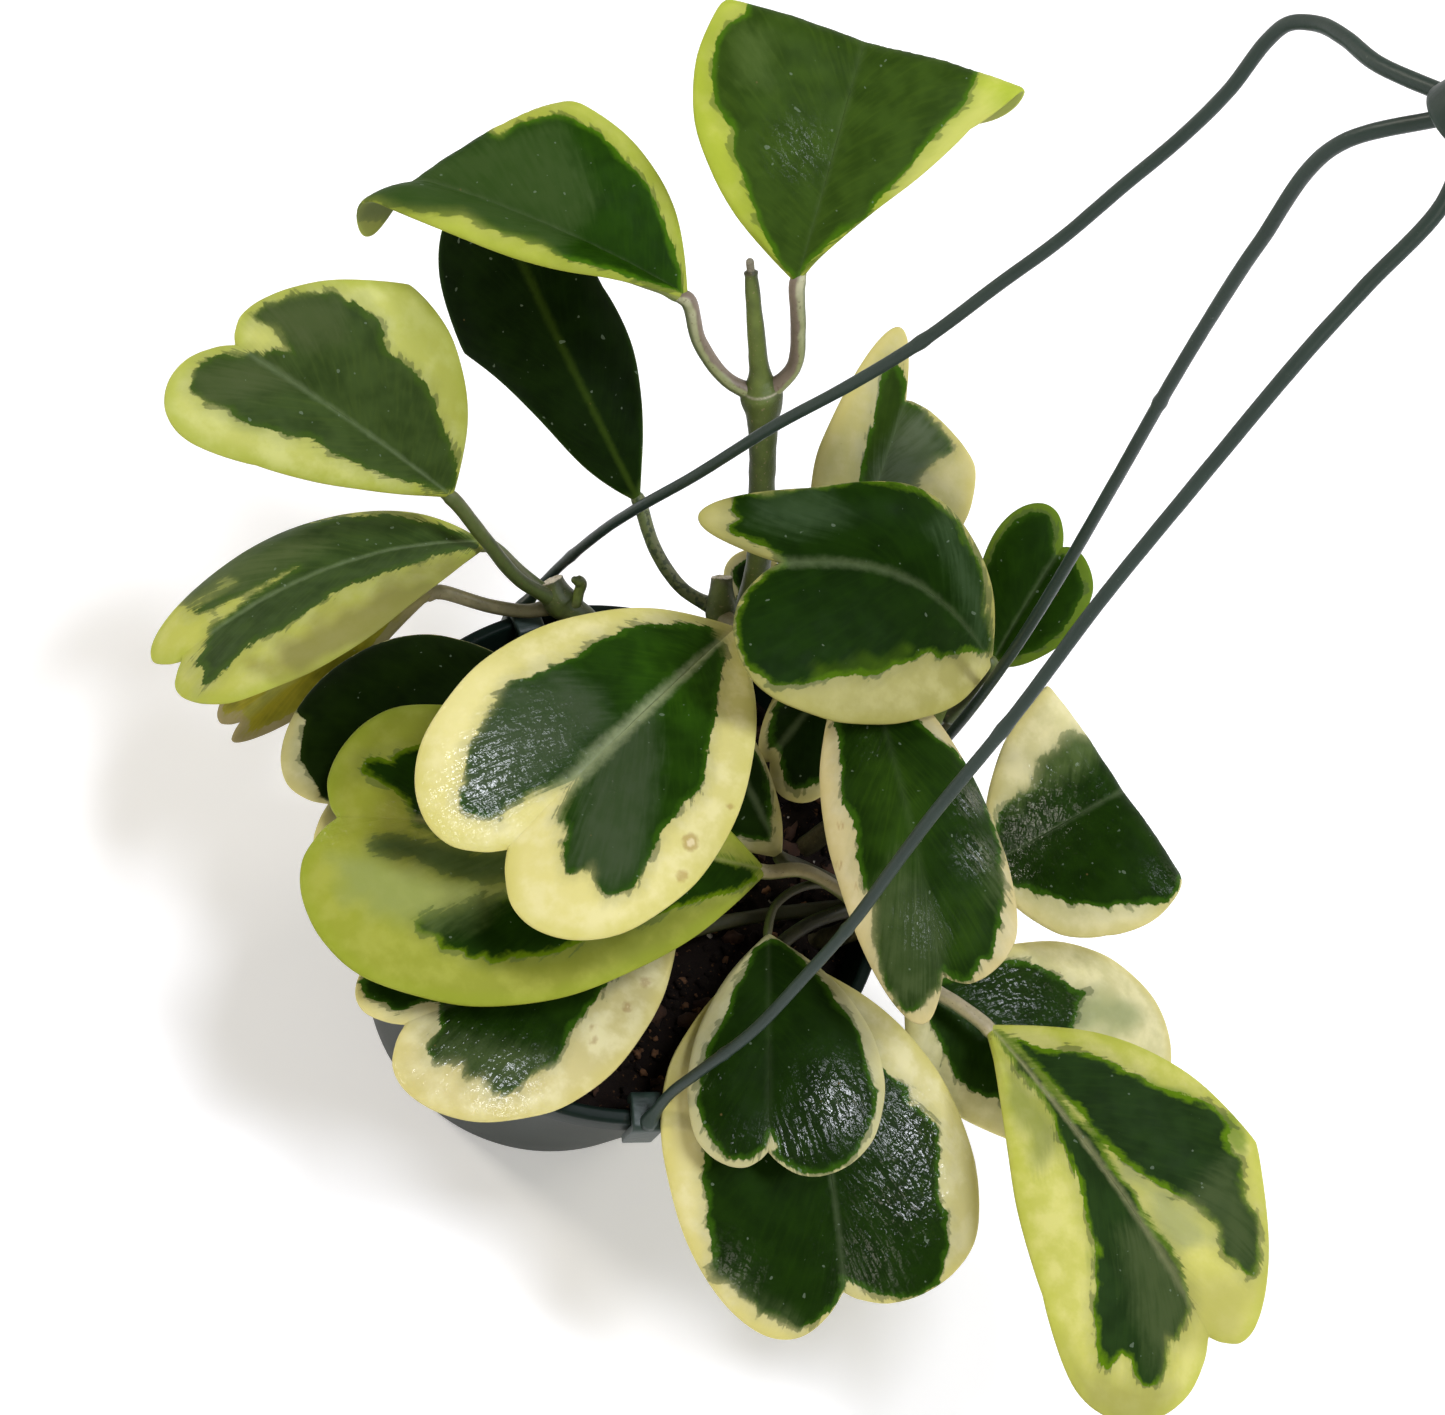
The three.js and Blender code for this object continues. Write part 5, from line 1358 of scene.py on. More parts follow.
        "hem": 3, "greyed": "#827b3f", "fringe": "#84802d", "leaf_end": "#857c58", "stem_end": "#5f5a3a",
    },
    "leaf_top_right": {
        **LIME_MARKS, **CROWN_MARKS, "glints": [(798, 150, 24, 0.18)], "rib": 0.1,
        "margin": ("#a0ac3b", "#abb742"), "mottle": "#b7be57", "hem_tone": "#99a934", "deep": "#344b15",
        "greyed": "#465a28",
        "washes": [
            ("margin", "#c0c268", 0.8, 5, [(890, 190), (935, 130), (990, 90), (1000, 130), (900, 230)])],
        "dark": [
            (793, 283), (766, 241), (734, 153), (735, 129), (725, 121), (716, 103), (711, 85), (715, 40),
            (731, 21), (745, 14), (752, -20), (985, 30), (978, 74), (969, 91), (966, 103), (940, 129),
            (922, 153), (843, 241), (808, 276)],
        "grey": [[(735, 30), (770, 30), (770, 90), (735, 80)]],
    },
    "leaf_top_left": {
        **LIME_MARKS, **CROWN_MARKS, "margin": ("#a0aa3f", "#adb54a"), "mottle": "#b9be5b",
        "hem_tone": "#98a535", "deep": "#1f3d05", "greyed": "#374c22",
        "grey": [[(330, 220), (380, 170), (500, 136), (560, 118), (600, 200), (560, 255), (480, 225)]],
        "dark": [
            (683, 294), (677, 252), (649, 187), (602, 134), (571, 118), (556, 113), (515, 124), (500, 136),
            (480, 130), (380, 170), (330, 220), (402, 210), (465, 212), (496, 231), (540, 243), (565, 259),
            (609, 270), (671, 296)],
    },
    "leaf_dark_back": {
        "margin": ("#4b641a", "#5a7325"), "mottle": "#5a7325", "hem_tone": "#657d2c", "deep": "#0f2003",
        "hem": 0.4, "jag": 0.12, "rib": 0.6, "rib_tone": "#3a4f12", "fringe": "#1f3806",
        "leaf_end": "#4f5c2c", "stem_end": "#525c31", "speckle": 1.0,
    },
    "leaf_right_upper": {
        **LIME_MARKS, "rib_run": (0.15, 1.0), "margin": ("#8f8b48", "#aaa66c"), "mottle": "#b0ab72",
        "hem_tone": "#9b974c", "deep": "#152d03", "greyed": "#35492b", "fringe": "#567a0c",
        "fringe_share": 0.5, "rib": 0.42, "rib_tone": "#7f8f64", "rib_wide": 2.0,
        "dark": [
            (783, 561), (771, 549), (734, 535), (729, 527), (740, 518), (730, 510), (732, 502), (740, 491),
            (829, 481), (837, 478), (857, 482), (879, 477), (921, 488), (957, 518), (982, 571), (991, 643),
            (989, 652), (951, 654), (940, 659), (929, 652), (904, 666), (890, 667), (879, 675), (840, 677),
            (787, 686), (773, 684), (750, 670), (736, 641), (734, 627), (737, 613), (746, 593), (762, 574),
            (782, 564)],
        "grey": [
            [(946, 510), (987, 599), (990, 650), (975, 640), (950, 560), (930, 530)],
            [(760, 490), (830, 490), (850, 520), (800, 535), (750, 520)]],
        "washes": [
            ("heart", "#46620c", 0.6, 3, [
                (812, 668), (870, 658), (905, 654), (900, 670), (860, 680), (814, 684)])],
    },
    "leaf_behind_upper": {
        "margin": ("#aaa56d", "#b2ac70"), "mottle": "#bdb788", "deep": "#2b400f", "greyed": "#55614a",
        "dark": [
            (882, 370), (890, 360), (900, 365), (919, 405), (950, 440), (952, 450), (930, 465), (918, 478),
            (900, 520), (870, 540), (858, 480), (878, 397)],
        "grey": [[(870, 480), (905, 415), (925, 410), (950, 445), (900, 520)]],
    },
    "leaf_right_small": {
        "margin": ("#4b6412", "#5a731a"), "mottle": "#657d21", "hem_tone": "#5a731a", "deep": "#183103",
        "fringe": "#2f5008", "hem": 2.8, "jag": 0.8,
    },
    "leaf_right_edge": {
        "glints": [(1034, 818, 44, 0.9), (1012, 880, 26, 0.8), (1168, 880, 18, 0.15), (1005, 800, 26, 0.6)],
        "grey": [
            [(1020, 780), (1040, 750), (1074, 725), (1110, 745), (1080, 775), (1040, 790), (1010, 812)]],
        "margin": ("#b9b47c", "#ccc694"), "deep": "#183004", "greyed": "#4b5c30",
        "dark": [
            (985, 868), (1000, 812), (1019, 793), (1034, 787), (1040, 760), (1074, 735), (1100, 740),
            (1180, 830), (1190, 880), (1166, 904), (1142, 906), (1122, 904), (1107, 908), (1063, 902),
            (1010, 885)],
    },
    "leaf_dark_left": {
        "margin": ("#a7a273", "#beb887"), "deep": "#122103", "fringe": "#1f3004", "jag": 0.5, "hem": 1.2,
        "dark": [
            (560, 690), (500, 630), (380, 600), (290, 620), (289, 700), (300, 717), (306, 720), (300, 747),
            (301, 760), (317, 785), (320, 795), (345, 815), (480, 860)],
    },
    "leaf_middle_shade": {
        "hem": 4, "deep": "#162904", "margin": ("#aba773", "#beb882"),
    },
    "leaf_back_shade": {
        "hem": 4, "deep": "#112203", "margin": ("#aba773", "#beb882"),
    },
    "leaf_back_edge": {
        "hem": 4, "deep": "#112203", "margin": ("#beb682", "#cbc291"),
    },
}
print("leaves with patches of their own:", sum(1 for marks in MARKS.values() if marks.get("dark")))

# %% How far a place is inside a patch
MM_PER_PIXEL = 0.26


def inside_by(places, corners):
    """How far, in millimetres, pixels lie inside a closed outline; negative is outside."""
    start = np.array(corners, dtype=float)
    end = np.roll(start, -1, axis=0)
    way = end - start
    away = places[:, None, :] - start[None]
    share = np.clip((away * way).sum(2) / np.maximum((way * way).sum(1), 1e-9), 0, 1)
    gap = np.linalg.norm(away - way * share[:, :, None], axis=2).min(axis=1)
    crosses = (start[None, :, 1] > places[:, None, 1]) != (end[None, :, 1] > places[:, None, 1])
    rise = np.where(np.abs(way[:, 1]) < 1e-9, 1e-9, way[:, 1])
    at_x = start[None, :, 0] + (places[:, None, 1] - start[None, :, 1]) / rise[None] * way[None, :, 0]
    inside = (crosses & (places[:, None, 0] < at_x)).sum(axis=1) % 2 == 1
    return np.where(inside, gap, -gap) * MM_PER_PIXEL


def patch_depth(places, patches):
    """The deepest of several patches at each place."""
    if not patches:
        return np.full(len(places), -50.0)
    if isinstance(patches[0][0], (int, float)):
        patches = [patches]
    return np.max([inside_by(places, corners) for corners in patches], axis=0)


SQUARE = [(0, 0), (100, 0), (100, 100), (0, 100)]
print("a square's middle is", inside_by(np.array([[50.0, 50.0]]), SQUARE)[0], "mm inside")

# %% [markdown]
# ## Leaf skin
# A sweetheart hoya's leaf is as thick as card and covered with a thin wax. Most of the skin is
# satin: it shows its colour and no reflections. Where it is wrinkled and wet with wax, mostly near
# the lobes' ends, a clear coat breaks a lamp's reflection into bright crackle. So one shader reads
# from the mesh where the patches, tones and wrinkles are, and works only on what noise can add.

# %% What the skin reads from the mesh
VEIN_LONG = 6.0
WRINKLE_LONG = 3.6
WRINKLE_FINE = 2.5
VEIN_FINE = 1.7
# Distances and shares, as plain values.
READ_VALUES = ("dark_mm", "grey_mm", "spot_mm", "edge_mm", "rib_gap", "rib_share", "fringe_share",
               "jag", "under", "glint", "streak")
READ_TONES = ("deep", "greyed", "fringe", "rib_tone", "margin", "mottle", "hem_tone")
# Each noise in the skin: the size of its lumps in mm, its detail and its roughness.
SKIN_NOISES = {
    "lobes": (7.0, 2.0, 0.5),
    "blots": (2.6, 3.0, 0.6),
    "fine": (0.7, 2.0, 0.6),
    "cloud": (8.0, 4.0, 0.55),
    "scrapes": (1.9, 1.0, 0.4),
    "satin": (5.0, 3.0, 0.5),
    "crinkle": (2.6, 2.0, 0.5),
    "crackle": (0.9, 2.0, 0.5),
}
# How far each noise moves the dark heart's edge, in mm.
EDGE_SWINGS = {"feather": 1.8, "blots": 1.8, "lobes": 1.2, "fine": 0.6}

leaf_skin, tree, shader = new_material("waxed leaf skin")
place = add_node(tree, "TexCoord").outputs["Object"]
value = {key: add_node(tree, "Attribute", attribute_name=key) for key in READ_VALUES}
tone = {key: add_node(tree, "Attribute", attribute_name=key).outputs["Color"] for key in READ_TONES}
cloud = {}
for key, (size_mm, detail, roughness) in SKIN_NOISES.items():
    cloud[key] = add_node(tree, "TexNoise", {
        "Vector": place, "Scale": 1 / (size_mm * MM), "Detail": detail, "Roughness": roughness,
    })
vein = add_node(tree, "Attribute", attribute_name="vein").outputs["Vector"]
along_veins = add_node(tree, "VectorMath", {
    0: vein, 1: (1 / VEIN_LONG, 1 / VEIN_FINE, 1.0),
}, operation="MULTIPLY").outputs["Vector"]
cloud["feather"] = add_node(tree, "TexNoise", {
    "Vector": along_veins, "Scale": 1.0, "Detail": 2.0, "Roughness": 0.5, "Distortion": 0.4,
})
across_wrinkles = add_node(tree, "VectorMath", {
    0: vein, 1: (1 / WRINKLE_LONG, 1 / WRINKLE_FINE, 1.0),
}, operation="MULTIPLY").outputs["Vector"]
cloud["wrinkle"] = add_node(tree, "TexNoise", {
    "Vector": across_wrinkles, "Scale": 1.0, "Detail": 2.0, "Roughness": 0.4, "Distortion": 0.5,
})
print("noises in the skin:", len(cloud))

# %% [markdown]
# ## The heart's edge
# The dark heart ends in teeth that follow the veins. Its outline gives the large ones. Noises
# of several sizes, one of them stretched along the veins, shift the outline by a few millimetres
# for the small ones. The edge is crisp, but soft beside the midrib and where the heart is greyed.

# %% Teeth and softness
wander = -0.5 * sum(EDGE_SWINGS.values())
for key, swing_mm in EDGE_SWINGS.items():
    wander = add_node(tree, "Math", {0: cloud[key], 1: swing_mm, 2: wander})
depth = add_node(tree, "Math", {0: wander, 1: value["jag"], 2: value["dark_mm"]})
grey_depth = add_node(tree, "Math", {0: cloud["feather"], 1: 5.0, 2: value["grey_mm"]})
grey_depth = add_node(tree, "Math", {0: cloud["blots"], 1: 3.0, 2: grey_depth})
greyness = add_node(tree, "MapRange", {"Value": grey_depth, "From Min": 0.5, "From Max": 8.5})
by_rib = add_node(tree, "MapRange", {"Value": value["rib_gap"], "From Min": 5.0, "From Max": 1.5})
by_rib = add_node(tree, "Math", {0: by_rib, 1: value["rib_share"]}, operation="MULTIPLY")
soft_here = add_node(tree, "Math", {0: greyness, 1: by_rib}, operation="MAXIMUM")
edge_width = add_node(tree, "MapRange", {"Value": soft_here, "To Min": 0.2, "To Max": 2.6})
sharpened = add_node(tree, "Math", {0: depth, 1: edge_width}, operation="DIVIDE")
in_heart = add_node(tree, "MapRange", {"Value": sharpened, "From Min": -1.0, "From Max": 1.0})
print("teeth reach", round(sum(EDGE_SWINGS.values()) / 2, 1), "mm either way")

# %% The heart's greens
shadowed = add_node(tree, "Mix", {
    SHARE: 1.0, FIRST: tone["deep"], SECOND: (0.62, 0.66, 0.6, 1.0),
}, blend_type="MULTIPLY")
brighter = add_node(tree, "Mix", {
    SHARE: 1.0, FIRST: tone["deep"], SECOND: (1.45, 1.35, 1.1, 1.0),
}, blend_type="MULTIPLY")
shade_share = add_node(tree, "MapRange", {"Value": cloud["lobes"], "From Min": 0.3, "From Max": 0.7})
heart = add_node(tree, "Mix", {SHARE: shade_share, FIRST: shadowed, SECOND: tone["deep"]})
streaks = add_node(tree, "MapRange", {"Value": cloud["feather"], "From Min": 0.42, "From Max": 0.72})
streaks = add_node(tree, "Math", {0: streaks, 1: value["streak"]}, operation="MULTIPLY")
rim_depth = add_node(tree, "Math", {0: cloud["lobes"], 1: 3.5, 2: depth})
near_edge = add_node(tree, "MapRange", {"Value": rim_depth, "From Min": 3.6, "From Max": 1.9})
near_edge = add_node(tree, "Math", {0: near_edge, 1: value["fringe_share"]}, operation="MULTIPLY")
brushed = add_node(tree, "Math", {0: cloud["feather"], 1: 0.8, 2: cloud["lobes"]})
brushed = add_node(tree, "MapRange", {"Value": brushed, "From Min": 0.65, "From Max": 1.1})
brushed = add_node(tree, "Math", {0: brushed, 1: 0.9}, operation="SUBTRACT")
brushed = add_node(tree, "Math", {0: brushed, 1: value["streak"], 2: 0.9})
greyed = add_node(tree, "Mix", {SHARE: brushed, FIRST: tone["deep"], SECOND: tone["greyed"]})
rib_edge = add_node(tree, "Math", {0: cloud["blots"], 1: 1.2, 2: value["rib_gap"]})
rib = add_node(tree, "MapRange", {"Value": rib_edge, "From Min": 2.3, "From Max": 0.5})
rib = add_node(tree, "Math", {0: rib, 1: value["rib_share"]}, operation="MULTIPLY")
scrape = add_node(tree, "MapRange", {
    "Value": cloud["scrapes"], "From Min": 0.755, "From Max": 0.78, "To Max": 0.3,
})
for share, laid in (
    (streaks, brighter), (near_edge, tone["fringe"]), (greyness, greyed), (rib, tone["rib_tone"]),
    (scrape, linear("#8b9c86")),
):
    heart = add_node(tree, "Mix", {SHARE: share, FIRST: heart, SECOND: laid})
print("heart mixed")

# %% The cream or lime margin
mottled_share = add_node(tree, "MapRange", {
    "Value": cloud["cloud"], "From Min": 0.38, "From Max": 0.66, "To Max": 0.85,
})
margin = add_node(tree, "Mix", {SHARE: mottled_share, FIRST: tone["margin"], SECOND: tone["mottle"]})
rim_gap = add_node(tree, "Math", {0: cloud["cloud"], 1: 3.0, 2: value["edge_mm"]})
by_rim = add_node(tree, "MapRange", {"Value": rim_gap, "From Min": 6.5, "From Max": 2.0, "To Max": 0.55})
beside = add_node(tree, "Math", {0: cloud["cloud"], 1: 4.0, 2: depth})
haze = add_node(tree, "MapRange", {"Value": beside, "From Min": -2.5, "From Max": 2.0, "To Max": 0.25})
# Beyond the teeth only one layer of the leaf is green, which gives paler teeth.
half_depth = add_node(tree, "Math", {0: cloud["lobes"], 1: 6.0, 2: depth})
half_depth = add_node(tree, "Math", {0: cloud["feather"], 1: 2.5, 2: half_depth})
half_green = add_node(tree, "MapRange", {
    "Value": half_depth, "From Min": 3.5, "From Max": 4.1, "To Max": 0.55,
})
for share, laid in (
    (by_rim, tone["hem_tone"]), (haze, tone["greyed"]), (half_green, tone["greyed"]),
):
    margin = add_node(tree, "Mix", {SHARE: share, FIRST: margin, SECOND: laid})
skin = add_node(tree, "Mix", {SHARE: in_heart, FIRST: margin, SECOND: heart})
print("margin mixed")

# %% Freckles, blemishes and the pale underside
freckles = add_node(tree, "TexVoronoi", {"Vector": place, "Scale": 1 / (7 * MM)})
few = add_node(tree, "MapRange", {"Value": freckles.outputs["Color"], "From Min": 0.66, "From Max": 0.7})
freckle = add_node(tree, "MapRange", {
    "Value": freckles.outputs["Distance"], "From Min": 0.06, "From Max": 0.03, "To Max": 0.45,
})
freckle = add_node(tree, "Math", {0: freckle, 1: few}, operation="MULTIPLY")
skin = add_node(tree, "Mix", {SHARE: freckle, FIRST: skin, SECOND: linear("#77603a")})
# A corky blemish has a brown ring and a paler middle: where each starts and is full, in mm.
ragged = add_node(tree, "Math", {0: cloud["blots"], 1: 2.0, 2: value["spot_mm"]})
for starts_mm, full_mm, share, spot_tone in ((1.9, 0.7, 0.5, "#93703f"), (0.5, -0.3, 0.75, "#dccfa6")):
    spot = add_node(tree, "MapRange", {
        "Value": ragged, "From Min": starts_mm, "From Max": full_mm, "To Max": share,
    })
    skin = add_node(tree, "Mix", {SHARE: spot, FIRST: skin, SECOND: linear(spot_tone)})
pale_side = add_node(tree, "Mix", {SHARE: 0.5, FIRST: skin, SECOND: linear("#8a9264")})
skin = add_node(tree, "Mix", {SHARE: value["under"], FIRST: skin, SECOND: pale_side})
feed(shader, {"Base Color": skin})
print("skin coloured")

# %% [markdown]
# ## Satin and glints
# Gloss is a matter of roughness and relief, not of painted highlights. The satin skin is rough
# enough to blur every lamp away. In the wrinkled places it wears a smooth clear coat of wax, whose
# ridges, one to four millimetres long, turn bits of it towards the panel overhead.

# %% Roughness and wrinkles
satin = add_node(tree, "MapRange", {
    "Value": cloud["satin"], "From Min": 0.3, "From Max": 0.7, "To Min": 0.5, "To Max": 0.62,
})
rough = add_node(tree, "Math", {0: value["glint"], 1: -0.15, 2: satin})
rough = add_node(tree, "Math", {0: value["under"], 1: 0.15, 2: rough})
relief = add_node(tree, "Bump", {"Height": cloud["crinkle"], "Distance": 0.1 * MM})
wrinkles = add_node(tree, "Math", {0: cloud["crackle"], 1: 0.12, 2: cloud["wrinkle"]})
wrinkles = add_node(tree, "Math", {0: cloud["crinkle"], 1: 0.8, 2: wrinkles})
wet_relief = add_node(tree, "Bump", {"Height": wrinkles, "Distance": 0.8 * MM})
feed(shader, {
    "Roughness": rough, "Normal": relief, "Coat Weight": value["glint"], "Coat Normal": wet_relief,
    "Coat Roughness": 0.16, "Coat IOR": 1.5, "IOR": 1.45, "Specular IOR Level": 0.04,
    "Subsurface Weight": 0.1, "Subsurface Radius": (0.0030, 0.0032, 0.0012),
    "Subsurface Scale": 0.5,
})
print("leaf skin ready, nodes:", len(tree.nodes))

# %% [markdown]
# ## Leaf stalks
# The stalks are round and fleshy. The side that faces the sun blushes to a pinkish beige, the side
# below stays green, and dark green speckles and tiny brown pores dot them.

# %% The stalks' skin
stalk_skin, tree, shader = new_material("fleshy leaf stalk")
place = add_node(tree, "TexCoord").outputs["Object"]
stalk = {key: add_node(tree, "Attribute", attribute_name=key)
         for key in ("along", "upper_side", "sunned", "speckle")}
STALK_TONES = ("leaf_end", "stem_end", "blush", "shade_side")
ends = {key: add_node(tree, "Attribute", attribute_name=key).outputs["Color"] for key in STALK_TONES}
bands = add_node(tree, "TexNoise", {"Vector": place, "Scale": 1 / (6 * MM)})
run = add_node(tree, "Math", {0: stalk["along"], 1: bands}, operation="ADD")
run = add_node(tree, "MapRange", {"Value": run, "From Min": 0.4, "From Max": 1.2})
skin = add_node(tree, "Mix", {SHARE: run, FIRST: ends["leaf_end"], SECOND: ends["stem_end"]})
facing = add_node(tree, "Math", {0: stalk["upper_side"], 1: bands}, operation="ADD")
blushed = add_node(tree, "MapRange", {"Value": facing, "From Min": 0.9, "From Max": 1.25})
blushed = add_node(tree, "Math", {0: blushed, 1: stalk["sunned"]}, operation="MULTIPLY")
below = add_node(tree, "MapRange", {
    "Value": stalk["upper_side"], "From Min": 0.1, "From Max": -0.5, "To Max": 0.8,
})
pores = add_node(tree, "TexNoise", {"Vector": place, "Scale": 1 / (0.9 * MM)})
pore = add_node(tree, "MapRange", {"Value": pores, "From Min": 0.64, "From Max": 0.7, "To Max": 0.5})
for share, laid in (
    (blushed, ends["blush"]), (below, ends["shade_side"]), (pore, linear("#5c4a30")),
):
    skin = add_node(tree, "Mix", {SHARE: share, FIRST: skin, SECOND: laid})
darker = add_node(tree, "Mix", {
    SHARE: 1.0, FIRST: skin, SECOND: (0.28, 0.38, 0.28, 1.0),
}, blend_type="MULTIPLY")
speckles = add_node(tree, "TexNoise", {"Vector": place, "Scale": 1 / (1.5 * MM), "Detail": 5.0})
speckled = add_node(tree, "MapRange", {
    "Value": speckles, "From Min": 0.47, "From Max": 0.6, "To Max": stalk["speckle"],
})
skin = add_node(tree, "Mix", {SHARE: speckled, FIRST: skin, SECOND: darker})
grain = add_node(tree, "TexNoise", {"Vector": place, "Scale": 1 / (1.5 * MM), "Detail": 4.0})
relief = add_node(tree, "Bump", {"Height": grain, "Distance": 0.18 * MM})
feed(shader, {
    "Base Color": skin, "Normal": relief, "Roughness": 0.5, "IOR": 1.43, "Subsurface Weight": 0.08,
    "Subsurface Radius": (0.003, 0.003, 0.001), "Subsurface Scale": 0.5,
})
print("stalk skin ready")

# %% [markdown]
# ## Growing the leaves
# A real blade is a cushion of water cells between two skins, with a round edge and a midrib that
# stands out below. A solidify modifier would make it equally thick everywhere. So the two skins are
# copies of the bent heart, set apart by a thickness that falls to nothing at the rim, where they
# share their points. The patches and tones then go on the same points as values.

# %% Normals and distances on a sheet


def normals_of(points, faces):
    """Smooth normals of a sheet from its faces."""
    total = np.zeros_like(points)
    for size in (3, 4):
        ring = np.array([f for f in faces if len(f) == size])
        if not len(ring):
            continue
        corners = [points[ring[:, corner]] for corner in range(size)]
        cross = np.cross(corners[2] - corners[0], corners[-1] - corners[1])
        for corner in range(size):
            np.add.at(total, ring[:, corner], cross)
    return total / np.maximum(np.linalg.norm(total, axis=1), 1e-12)[:, None]


def distance_to(points, line):
    """The distance from points to a line of segments."""
    start, end = line[:-1], line[1:]
    way = end - start
    away = points[:, None, :] - start[None]
    share = np.clip((away * way).sum(2) / np.maximum((way * way).sum(1), 1e-9), 0, 1)
    return np.linalg.norm(away - way * share[:, :, None], axis=2).min(axis=1)


TEST_LINE = np.array([[0.0, 0.0, 0.0], [9.0, 0.0, 0.0]])
print("a test point lies mm from a line:", distance_to(np.array([[3.0, 0.0, 4.0]]), TEST_LINE)[0])

# %% A blade's two skins
EDGE_ROUND = 1.5
RIB_STEPS = 60
CALM_WITHIN = 5
RELIEF_SIZE = 9.0
RELIEF_DEEP = 0.22
VEIN_PITCH = 1.3
PILLOW_PITCH = 7.0
PILLOW_DEEP = 0.03
GROOVE_DEEP = 0.05
GROOVE_WIDE = 2.0
RIDGE_WIDE = 2.2
SHOULDER_DEEP = 1.1
SHOULDER_WIDE = 5
SHOULDER_CLEAR = 2
THINS_OVER = 3
SEEN_FROM_BELOW = "leaf_left_lower"


def shape_blade(name, leaf, number):
    """A leaf's skins and faces, and how far each place is from its rim and its midrib."""
    flat = leaf_surface(leaf, GRID_ACROSS, GRID_AT, rolled=False)
    rim_line = np.concatenate([flat[RIM_LEFT], flat[RIM_RIGHT[::-1]]])
    edge = distance_to(flat, rim_line)
    edge[ON_RIM] = 0
    rib_at = np.linspace(0, 1, RIB_STEPS)
    rib_line = leaf_surface(leaf, np.zeros(RIB_STEPS), rib_at, rolled=False)
    rib = distance_to(flat, rib_line)
    middle = leaf_surface(leaf, GRID_ACROSS, GRID_AT)
    faces = BLADE_FACES
    normals = normals_of(middle, faces)
    to_lens = VIEW_FROM - middle.mean(axis=0)
    if normals.mean(axis=0) @ to_lens < 0 and name != SEEN_FROM_BELOW:
        faces = [f[::-1] for f in BLADE_FACES]
        normals = -normals
    length = np.linalg.norm(rib_line[-1] - rib_line[0])
    across_vein = grid_part * length * VEIN_PITCH
    out = np.abs(grid_share)
    calm = np.clip(edge / CALM_WITHIN, 0, 1)
    drift = Vector((number, 0, 0))
    relief = np.array([noise.noise(Vector(p) / RELIEF_SIZE + drift) for p in middle]) * RELIEF_DEEP
    pillow = np.sin(2 * math.pi * across_vein / PILLOW_PITCH) * PILLOW_DEEP * np.sin(math.pi * out)
    middle = middle + normals * ((relief * calm + pillow * calm)[:, None])
    thick = EDGE_THICKNESS + (LEAF_THICKNESS - EDGE_THICKNESS) * np.clip((1 - out) * THINS_OVER, 0, 1)
    round_in = np.clip(edge / EDGE_ROUND, 0, 1)
    thick = thick * np.sqrt(1 - (1 - round_in) ** 2) / 2
    groove = GROOVE_DEEP * near(rib, GROOVE_WIDE) * calm
    from_base = np.linalg.norm(flat - flat[0], axis=1)
    ridge = MIDRIB_EXTRA * near(rib, RIDGE_WIDE) * (1 - grid_part) * calm
    ridge = ridge + SHOULDER_DEEP * near(from_base, SHOULDER_WIDE) * np.clip(edge / SHOULDER_CLEAR, 0, 1)
    return {
        "top": middle + normals * (thick - groove)[:, None],
        "bottom": middle - normals * (thick + ridge)[:, None],
        "faces": faces, "normals": normals, "edge": edge, "rib": rib, "across_vein": across_vein,
    }


print("a blade is", LEAF_THICKNESS, "mm thick, and", EDGE_THICKNESS, "mm near its edge")

# %% A blade's patches and tones
WASHED = {"margin": ("margin", "mottle", "hem_tone"), "heart": ("deep",)}
WASH_WANDER = 22.0
WASH_SWAY = 3
HEM_UNDER_PATCH = 0.4
NO_SPOT = 9.0
MARGIN_TURNS = 1.4
RIB_TIP_WIDE = 0.7
HALVES_APART = 7
LEAVES_APART = 17.0


